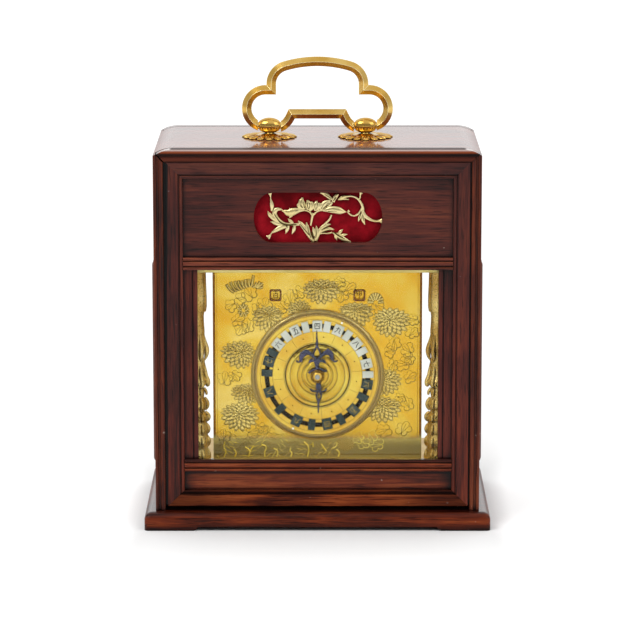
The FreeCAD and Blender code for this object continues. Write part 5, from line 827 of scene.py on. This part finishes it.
# Stems, leaves and petals as runs of (x, z, half-width) about the opening's middle
FRET_RUNS = [
    [(-21.4, 10.7, 0.95), (-21.2, 9.5, 0.36), (-21.0, 7.7, 0.36), (-20.6, 5.7, 0.83), (-20.5, 4.3, 0.76),
     (-20.7, 2.6, 0.36)],
    [(-22.4, 2.6, 0.12), (-21.8, 1.3, 0.72), (-20.6, -0.1, 0.88), (-18.8, -1.5, 0.80), (-16.8, -2.7, 0.40)],
    [(-21.1, -2.2, 0.12), (-19.6, -2.7, 0.64), (-17.6, -3.3, 0.80), (-15.6, -3.7, 0.48)],
    [(-15.7, 3.0, 0.20), (-17.0, 3.4, 0.56), (-18.6, 3.2, 0.95), (-19.4, 1.8, 1.03), (-18.8, 0.1, 0.95),
     (-17.4, -1.7, 0.84), (-15.4, -3.0, 0.72), (-12.0, -3.5, 0.60), (-8.4, -3.4, 0.60)],
    [(-22.4, -9.4, 1.27), (-21.5, -8.6, 0.56), (-20.8, -7.4, 0.28), (-19.2, -6.4, 0.80),
     (-17.0, -5.1, 1.11), (-14.4, -4.2, 0.80)],
    [(-13.2, -3.9, 0.56), (-13.8, -5.8, 0.80), (-14.5, -7.6, 0.16)],
    [(-10.4, -3.9, 0.56), (-10.8, -5.8, 0.80), (-11.6, -7.8, 0.16)],
    [(-13.3, -0.8, 0.16), (-12.4, -1.9, 0.72), (-11.2, -2.9, 0.56)],
    [(-8.8, -1.8, 0.20), (-7.8, -2.9, 0.80), (-6.5, -4.5, 0.96), (-4.9, -7.0, 0.96), (-2.9, -9.8, 0.96),
     (-1.9, -11.1, 0.80)],
    [(-5.2, -2.4, 0.16), (-4.9, -4.5, 0.88), (-4.3, -7.0, 0.96), (-3.3, -9.4, 0.72)],
    [(-3.3, -3.9, 0.36), (-2.9, -1.7, 0.44), (-2.5, 0.3, 0.52), (-2.0, 1.7, 0.60)],
    [(-2.5, 0.5, 0.36), (-3.7, 2.1, 0.36), (-5.6, 2.9, 0.36), (-7.6, 2.7, 0.32), (-9.6, 1.8, 0.20)],
    [(-1.9, 0.9, 0.36), (-0.5, 2.3, 0.36), (1.5, 2.9, 0.32), (2.7, 2.7, 0.20)],
    [(-6.0, 3.4, 0.64), (-7.0, 5.2, 1.51), (-7.4, 6.8, 1.43), (-6.9, 8.7, 0.40)],
    [(-6.4, 3.6, 0.48), (-8.4, 4.6, 0.80), (-9.2, 5.8, 0.32)],
    [(-4.5, 3.2, 0.64), (-4.3, 5.0, 1.35), (-4.4, 6.4, 1.19), (-4.9, 7.5, 0.32)],
    [(-4.0, 4.3, 0.64), (-2.9, 5.8, 0.80), (-2.8, 6.9, 0.28)],
    [(-3.7, 2.6, 0.40), (-2.9, 4.0, 1.10), (-2.6, 5.4, 0.90), (-2.4, 6.6, 0.30)],
    [(-1.1, 2.7, 0.64), (-1.0, 4.7, 1.27), (-0.8, 6.0, 1.11), (-0.6, 7.1, 0.32)],
    [(-0.4, 3.1, 0.56), (0.6, 4.9, 0.95), (0.6, 6.3, 0.40)],
    [(0.9, 3.3, 0.80), (2.5, 5.2, 1.51), (4.0, 6.5, 1.19), (5.5, 7.5, 0.40)],
    [(3.5, 4.7, 0.72), (5.3, 5.8, 0.95), (6.4, 6.5, 0.40)],
    [(-6.4, 2.8, 0.32), (-8.8, 2.9, 1.11), (-11.2, 2.3, 1.75), (-13.2, 1.8, 1.59), (-15.0, 2.5, 0.72),
     (-16.1, 2.6, 0.16)],
    [(-11.6, 1.6, 1.11), (-12.2, 0.4, 0.80), (-12.7, -0.6, 0.16)],
    [(2.1, 2.8, 0.40), (4.7, 3.2, 1.27), (7.9, 3.1, 1.67), (10.3, 2.5, 1.35), (12.7, 2.2, 0.16)],
    [(6.0, 0.9, 0.32), (5.1, -1.1, 0.44), (3.5, -2.9, 0.44), (1.5, -4.9, 0.60), (0.3, -7.0, 0.88),
     (-0.7, -9.4, 0.96), (-1.1, -10.9, 0.72)],
    [(0.7, -6.6, 0.56), (2.7, -4.4, 0.88), (4.3, -3.6, 0.56), (5.7, -3.3, 0.16)],
    [(1.1, -7.0, 0.56), (3.5, -5.6, 0.96), (5.5, -5.4, 0.64), (7.2, -5.8, 0.16)],
    [(-2.3, -4.5, 0.20), (-1.9, -6.2, 0.72), (-1.5, -8.6, 0.72)],
    [(-0.8, -4.1, 0.20), (-0.6, -6.2, 0.88), (-0.9, -9.0, 0.80)],
    [(6.5, -7.2, 0.24), (8.5, -8.2, 0.96), (10.3, -9.4, 1.08), (12.5, -10.6, 0.80), (14.7, -11.2, 0.16)],
    [(8.9, -8.0, 0.56), (9.9, -6.8, 0.72), (11.1, -5.6, 0.16)],
    [(9.9, -9.0, 0.56), (11.5, -8.2, 0.64), (13.1, -7.9, 0.16)],
    [(7.9, -7.6, 0.56), (7.9, -9.2, 0.72), (8.4, -10.7, 0.16)],
    [(6.3, -7.0, 0.36), (4.3, -7.5, 0.32), (2.3, -7.4, 0.32), (0.5, -7.7, 0.32)],
    [(1.1, 10.9, 0.40), (3.1, 10.4, 1.03), (5.1, 8.7, 0.72), (6.5, 7.6, 0.28)],
    [(6.7, 6.7, 0.72), (7.3, 8.3, 0.87), (8.3, 9.6, 0.79), (9.1, 10.2, 0.32)],
    [(8.9, 7.6, 0.24), (10.6, 8.7, 0.72), (13.0, 9.2, 0.44), (15.4, 9.2, 0.40), (17.4, 8.3, 0.44),
     (19.0, 6.5, 0.52), (19.9, 4.3, 0.60), (20.0, 2.3, 0.64)],
    [(13.9, 7.7, 0.12), (11.8, 8.1, 0.44), (9.5, 7.9, 0.44)],
    [(19.2, 11.0, 0.95), (18.9, 10.2, 0.40), (18.7, 8.9, 0.32), (18.5, 8.1, 0.32)],
    [(19.8, 4.7, 0.36), (18.4, 1.9, 0.44), (17.0, 0.7, 0.36), (15.4, 0.5, 0.32), (14.0, 1.3, 0.32),
     (13.4, 2.4, 0.36), (14.0, 2.8, 0.56)],
    [(19.9, 3.1, 0.60), (20.2, 1.5, 0.88), (21.0, 0.3, 0.80), (23.0, -1.1, 0.64), (25.4, -1.9, 0.44),
     (27.4, -1.9, 0.56), (28.5, -1.9, 1.19)],
    [(19.4, 1.5, 0.52), (18.6, -0.1, 0.72), (18.0, -2.0, 0.16)],
    [(20.0, 0.7, 0.52), (20.1, -1.5, 0.80), (20.9, -3.6, 0.16)]]
# Lines cut along petals and leaves
CHASED_RUNS = [
    [(-14.4, 2.4, 0.12), (-12.0, 2.6, 0.20), (-8.8, 2.8, 0.16)],
    [(-13.6, 1.7, 0.12), (-11.6, 1.9, 0.20), (-9.6, 2.4, 0.12)],
    [(-7.4, 7.6, 0.12), (-7.6, 5.8, 0.20), (-6.8, 4.2, 0.16)],
    [(-6.5, 7.0, 0.12), (-6.3, 5.4, 0.20), (-6.0, 3.9, 0.16)],
    [(-8.2, 6.2, 0.12), (-7.9, 5.2, 0.16), (-7.0, 4.1, 0.12)],
    [(-4.8, 6.6, 0.12), (-4.7, 5.0, 0.20), (-4.4, 3.6, 0.12)],
    [(-3.7, 6.4, 0.12), (-3.7, 4.8, 0.16), (-4.1, 3.6, 0.12)],
    [(-1.3, 6.2, 0.12), (-1.4, 4.6, 0.16), (-1.2, 3.2, 0.12)],
    [(-0.2, 6.4, 0.12), (-0.4, 4.8, 0.16), (-0.7, 3.4, 0.12)],
    [(3.5, 6.8, 0.12), (2.3, 5.2, 0.16), (1.3, 3.6, 0.16)],
    [(4.7, 6.4, 0.12), (3.5, 5.0, 0.20), (2.1, 3.7, 0.12)],
    [(5.7, 6.4, 0.12), (4.7, 5.4, 0.16), (3.5, 4.4, 0.12)],
    [(3.1, 3.0, 0.12), (6.3, 3.7, 0.20), (9.5, 3.1, 0.16)],
    [(4.3, 2.4, 0.12), (7.1, 2.7, 0.20), (9.9, 2.4, 0.12)],
    [(-18.4, -0.4, 0.16), (-16.6, -2.6, 0.32), (-13.6, -3.6, 0.36), (-9.6, -3.4, 0.28)],
    [(-19.6, 1.6, 0.12), (-19.0, 0.4, 0.20), (-18.0, -1.0, 0.16)],
    [(-8.0, -3.2, 0.12), (-6.4, -5.2, 0.20), (-4.1, -8.1, 0.20)],
    [(-4.7, -4.4, 0.12), (-4.3, -6.5, 0.16), (-3.3, -9.3, 0.16)],
    [(-2.9, -6.5, 0.12), (-2.5, -8.1, 0.24), (-2.0, -10.1, 0.20)],
    [(-0.9, -5.7, 0.12), (-0.8, -7.3, 0.20), (-1.0, -9.3, 0.16)],
    [(1.5, -5.9, 0.12), (3.5, -4.8, 0.16), (5.1, -4.2, 0.12)],
    [(1.5, -7.1, 0.12), (3.9, -6.3, 0.16), (5.9, -5.9, 0.12)],
    [(6.7, -6.5, 0.12), (7.9, -7.5, 0.32), (9.9, -8.9, 0.28), (11.9, -9.9, 0.16)],
    [(2.9, 10.2, 0.12), (4.3, 9.3, 0.20), (5.9, 8.2, 0.16)],
    [(6.9, 7.2, 0.16), (7.5, 8.2, 0.28), (8.1, 9.0, 0.16)],
    [(19.0, 2.4, 0.12), (18.8, 0.8, 0.16), (18.4, -0.8, 0.12)],
    [(19.9, 1.2, 0.12), (20.1, -0.4, 0.16), (20.5, -2.0, 0.12)]]
scroll = settled(drawn(FRET_RUNS, flat=0.42), "sawn_scroll", "front_panel", "fret_brass", pale_brass,
                 place=(OVAL_X, FRET_Y, OVAL_Z))
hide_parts("fret")
settled(drawn(CHASED_RUNS, flat=1.2), "chased_lines", "front_panel", "fret_brass", chase_dark,
        place=(OVAL_X, CHASE_Y, OVAL_Z))

# Silk
# A piece of plain red silk behind the fret, stretched and glued by its edges to the back of the upper board.
# It is a deep red with a faint sheen, faded in clouds.
SILK_Y, END_RADIUS, END_X = -37.0, 13.2, 17.3
silk = blank("red_silk")
where = add(silk, "TexCoord").outputs["Object"]
# Threads are 0.25 mm apart, drawn at 0.6 mm so that they show; Blender's waves come twenty to a unit of scale
PITCH = 1 / (0.6 * MM) / 20
threads = [add(silk, "TexWave", {"Vector": where, "Scale": PITCH, "Distortion": 1.0}, bands_direction=way)
           for way in "ZX"]
weave = add(silk, "Math", {k: thread.outputs["Fac"] for k, thread in enumerate(threads)}, operation="MAXIMUM")
nap = add(silk, "Bump", {"Strength": 0.3, "Distance": 0.08 * MM, "Height": weave})
faded = add(silk, "TexNoise", {"Vector": where, "Scale": 1 / (7 * MM), "Detail": 4})
red = add(silk, "ValToRGB", {0: faded}, [(0.36, "#720510"), (0.50, "#8E0918"), (0.66, "#A81422")])
feed(silk, {"Base Color": red, "Normal": nap, "Roughness": 0.65, "Specular IOR Level": 0.06,
            "Sheen Weight": 0.04, "Sheen Tint": "#D04050"})
# The top hangs in the shadow of the oval's edge
striped(silk, Z, 141.0, 153.0, (0.0, "#F4F4F4"), (0.5, "#ECE6E6"), (1.0, "#B4A2A2"))
cloth = disc(64, END_RADIUS * MM)
for v in cloth.data.vertices:
    v.co.x += math.copysign(END_X * MM, v.co.x)
with editing():
    for ring in range(3):
        bpy.ops.mesh.inset(thickness=3.0 * MM)
# The cloth is not quite flat
for v in cloth.data.vertices:
    v.co.y += 0.08 * MM * math.sin(640 * v.co.x + 2.0 * math.sin(900 * v.co.z))
settled(cloth, "silk_sheet", "front_panel", "silk", silk, place=(OVAL_X, SILK_Y, OVAL_Z))
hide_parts("silk_backing")

# Handle
# A closed loop of filed brass bar of diamond section, swinging in two knobs on chrysanthemum plates.
# The ridges of the bar carry a painted pale highlight, and the turned knobs are smoother mirrors.
KNOB_X, TOP_Z, PIVOT_Z = 21.8, 172.4, 177.7
filed_brass = brass("filed_brass", ("#CBA04A", "#DDBA6C"), 0.22, 0.6)
# A pale highlight is painted where the bevel rounds the bar's ridges
soft = add(filed_brass, "Bevel", {"Radius": 0.45 * MM}, samples=8)
flat = add(filed_brass, "NewGeometry").outputs["Normal"]
painted_ridge_highlight = add(filed_brass, "VectorMath", {0: soft, 1: flat}, operation="DOT_PRODUCT")
painted_ridge_highlight = add(filed_brass, "MapRange", {0: painted_ridge_highlight, 1: 0.995, 2: 0.94})
laid(filed_brass, "#FFF0B8", painted_ridge_highlight)
dress(filed_brass, "handle")
turned_brass = brass("turned_brass", ("#CFA048", "#DDB662"), 0.14, 0.6, "#4A3414", 0.8)
# Each knob is a barrel on a short stem, from (radius, distance along)
BARREL = [
    (1.2, -4.7), (1.95, -4.65), (2.5, -4.0), (3.04, -3.0), (3.45, -1.6), (3.6, 0.0), (3.45, 1.6),
    (3.04, 3.0), (2.5, 4.0), (1.95, 4.65), (1.2, 4.7)]
STEM = [(2.2, -7.6), (2.2, 0.6), (2.9, 0.9), (2.9, 1.3), (2.2, 1.7), (2.2, 4.0)]
posts = []
for side in (-1, 1):
    barrel = turned(BARREL, 32)
    barrel.rotation_euler = (0, math.pi / 2, 0)
    barrel.location = (side * KNOB_X * MM, 0, (PIVOT_Z - TOP_Z) * MM)
    bpy.ops.object.transform_apply()
    stem = turned(STEM, 24)
    stem.location = (side * KNOB_X * MM, 0, 0)
    bpy.ops.object.transform_apply()
    posts += [barrel, stem]
posts = settled(joined(*posts), "turned_posts", "case", "brass", turned_brass, place=(0, 0, TOP_Z))
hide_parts("handle_posts")
# Each plate is a ring of sixteen petals about a low dome, cut off flat where it lies on the wood
chosen()
bpy.ops.mesh.primitive_uv_sphere_add(segments=14, ring_count=8, radius=1)
petal = bpy.context.object
for v in petal.data.vertices:
    v.co.x *= 1.0 + 0.7 * v.co.y - 0.4 * max(v.co.y, 0) ** 3
petal.scale = (1.4 * MM, 4.4 * MM, 0.85 * MM)
petal.rotation_euler = (math.radians(-3), 0, 0)
petal.location = (0, 8.2 * MM, 0.5 * MM)
bpy.ops.object.transform_apply()
ringed(16, Z)
bpy.ops.mesh.primitive_uv_sphere_add(segments=32, ring_count=14, radius=7.4 * MM)
dome = bpy.context.object
dome.scale = (1, 1, 0.26)
bpy.ops.object.transform_apply()
rosette = joined(petal, dome)
with editing():
    bpy.ops.mesh.bisect(plane_co=(0, 0, 0.02 * MM), plane_no=Z, use_fill=True, clear_inner=True)
settled(copied(rosette), "right_rosette", "case", "brass", turned_brass, place=(KNOB_X, 0, TOP_Z))
settled(rosette, "left_rosette", "case", "brass", turned_brass, place=(-KNOB_X, 0, TOP_Z))
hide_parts("handle_rosettes")

# Studio
# A pale floor and a surround that both look white to the camera, under two soft lamps.
# The floor is matt white paper that keeps the shadow under and close about the base.
chosen()
bpy.ops.mesh.primitive_plane_add(size=8.0, location=(0, 0, -0.02 * MM))
floor = bpy.context.object
floor.name = "studio_floor"
paper = blank("white_paper")
rays = add(paper, "LightPath").outputs
seen = add(paper, "Math", {0: rays["Is Camera Ray"], 1: rays["Is Glossy Ray"]}, operation="MAXIMUM")
seen = add(paper, "Math", {0: seen, 1: rays["Is Transmission Ray"]}, operation="MAXIMUM")
# The far floor gets less of the lamps, so it glows a little more
spot = add(paper, "TexCoord").outputs["Object"]
glow = add(paper, "VectorMath", {0: spot}, operation="LENGTH")
glow = add(paper, "MapRange", {0: glow, 1: 0.3, 2: 2.2, 3: 0.14, 4: 0.45})
# The glow starts at the base's edge, and rises more slowly in front than at the sides
corner = add(paper, "VectorMath", {0: spot}, operation="ABSOLUTE")
corner = add(paper, "SeparateXYZ", {0: corner}).outputs
beside = add(paper, "Math", {0: corner["X"], 1: cad_box[1][0]}, operation="SUBTRACT")
before = add(paper, "Math", {0: corner["Y"], 1: cad_box[1][1]}, operation="SUBTRACT")
ahead = add(paper, "Math", {0: before, 1: 0.22}, operation="MULTIPLY")
gap = add(paper, "Math", {0: beside, 1: ahead}, operation="MAXIMUM")
gap = add(paper, "MapRange", {0: gap, 2: 0.012})
# Extra glow is painted on the floor beside the base, so only a faint shadow is left to the left and right,
# softer with distance
width = add(paper, "MapRange", {0: before, 2: 0.3, 3: 0.013, 4: 0.11})
painted_side_light = add(paper, "Math", {0: beside, 1: width}, operation="DIVIDE")
painted_side_light = add(paper, "MapRange", {0: painted_side_light, 4: 0.2}, interpolation_type="SMOOTHSTEP")
level = add(paper, "MapRange", {0: before, 1: 0.5, 2: 0.0}, interpolation_type="SMOOTHSTEP")
for part in (level, rays["Is Camera Ray"]):
    painted_side_light = add(paper, "Math", {0: painted_side_light, 1: part}, operation="MULTIPLY")
for part in (gap, seen):
    glow = add(paper, "Math", {0: glow, 1: part}, operation="MULTIPLY")
glow = add(paper, "Math", {0: glow, 1: painted_side_light}, operation="ADD")
feed(paper, {"Base Color": "#F2F2F2", "Roughness": 0.9, "Specular IOR Level": 0.0,
             "Emission Color": "#FFFFFF", "Emission Strength": glow})
floor.data.materials.append(paper)

world = bpy.data.worlds.new("white_surround")
bpy.context.scene.world = world
world.use_nodes = True
rays = add(world, "LightPath").outputs
seen = add(world, "Math", {0: rays["Is Camera Ray"], 1: rays["Is Transmission Ray"]}, operation="MAXIMUM")
# The paper behind the object is white; the room on the near side is dimmer, so metal has something to mirror
way = add(world, "TexCoord").outputs["Generated"]
way = add(world, "SeparateXYZ", {0: way}).outputs
depth = add(world, "MapRange", {0: way["Y"], 1: -0.45, 2: 0.25, 3: 0.30, 4: 1.0})
above = add(world, "MapRange", {0: way["Z"], 1: 0.15, 2: 0.75, 3: 0.0, 4: 0.95})
strength = seen
for part in (depth, above):
    strength = add(world, "Math", {0: strength, 1: part}, operation="MAXIMUM")
feed(world, {"Color": "#FFFFFF", "Strength": strength}, world.node_tree.nodes["Background"])


def softbox(name, place, power):
    """A square soft lamp of 0.9 m at a place, turned to the clock's middle."""
    bpy.ops.object.light_add(type="AREA", location=place)
    lamp = bpy.context.object
    lamp.name = name
    lamp.data.size = 0.9
    lamp.data.energy = power
    x, y, z = place[0], place[1], place[2] - 0.1
    lamp.rotation_euler = (math.atan2(math.hypot(x, y), z), 0, math.atan2(-y, -x) - math.pi / 2)


softbox("key_lamp", (-0.9, -0.9, 1.5), 12)
softbox("fill_lamp", (1.1, -0.8, 1.0), 4)

# Camera
# Placed as in the photograph: level from side to side, looking 11 degrees down from 1.5 m in front.
bpy.ops.object.camera_add(location=(0.00117, -1.50757, 0.38061), rotation=(math.radians(79), 0, 0))
camera = bpy.context.object
camera.data.lens = 187.9
camera.data.sensor_width = 36.0
bpy.context.scene.camera = camera
bpy.context.scene.view_settings.view_transform = "Standard"
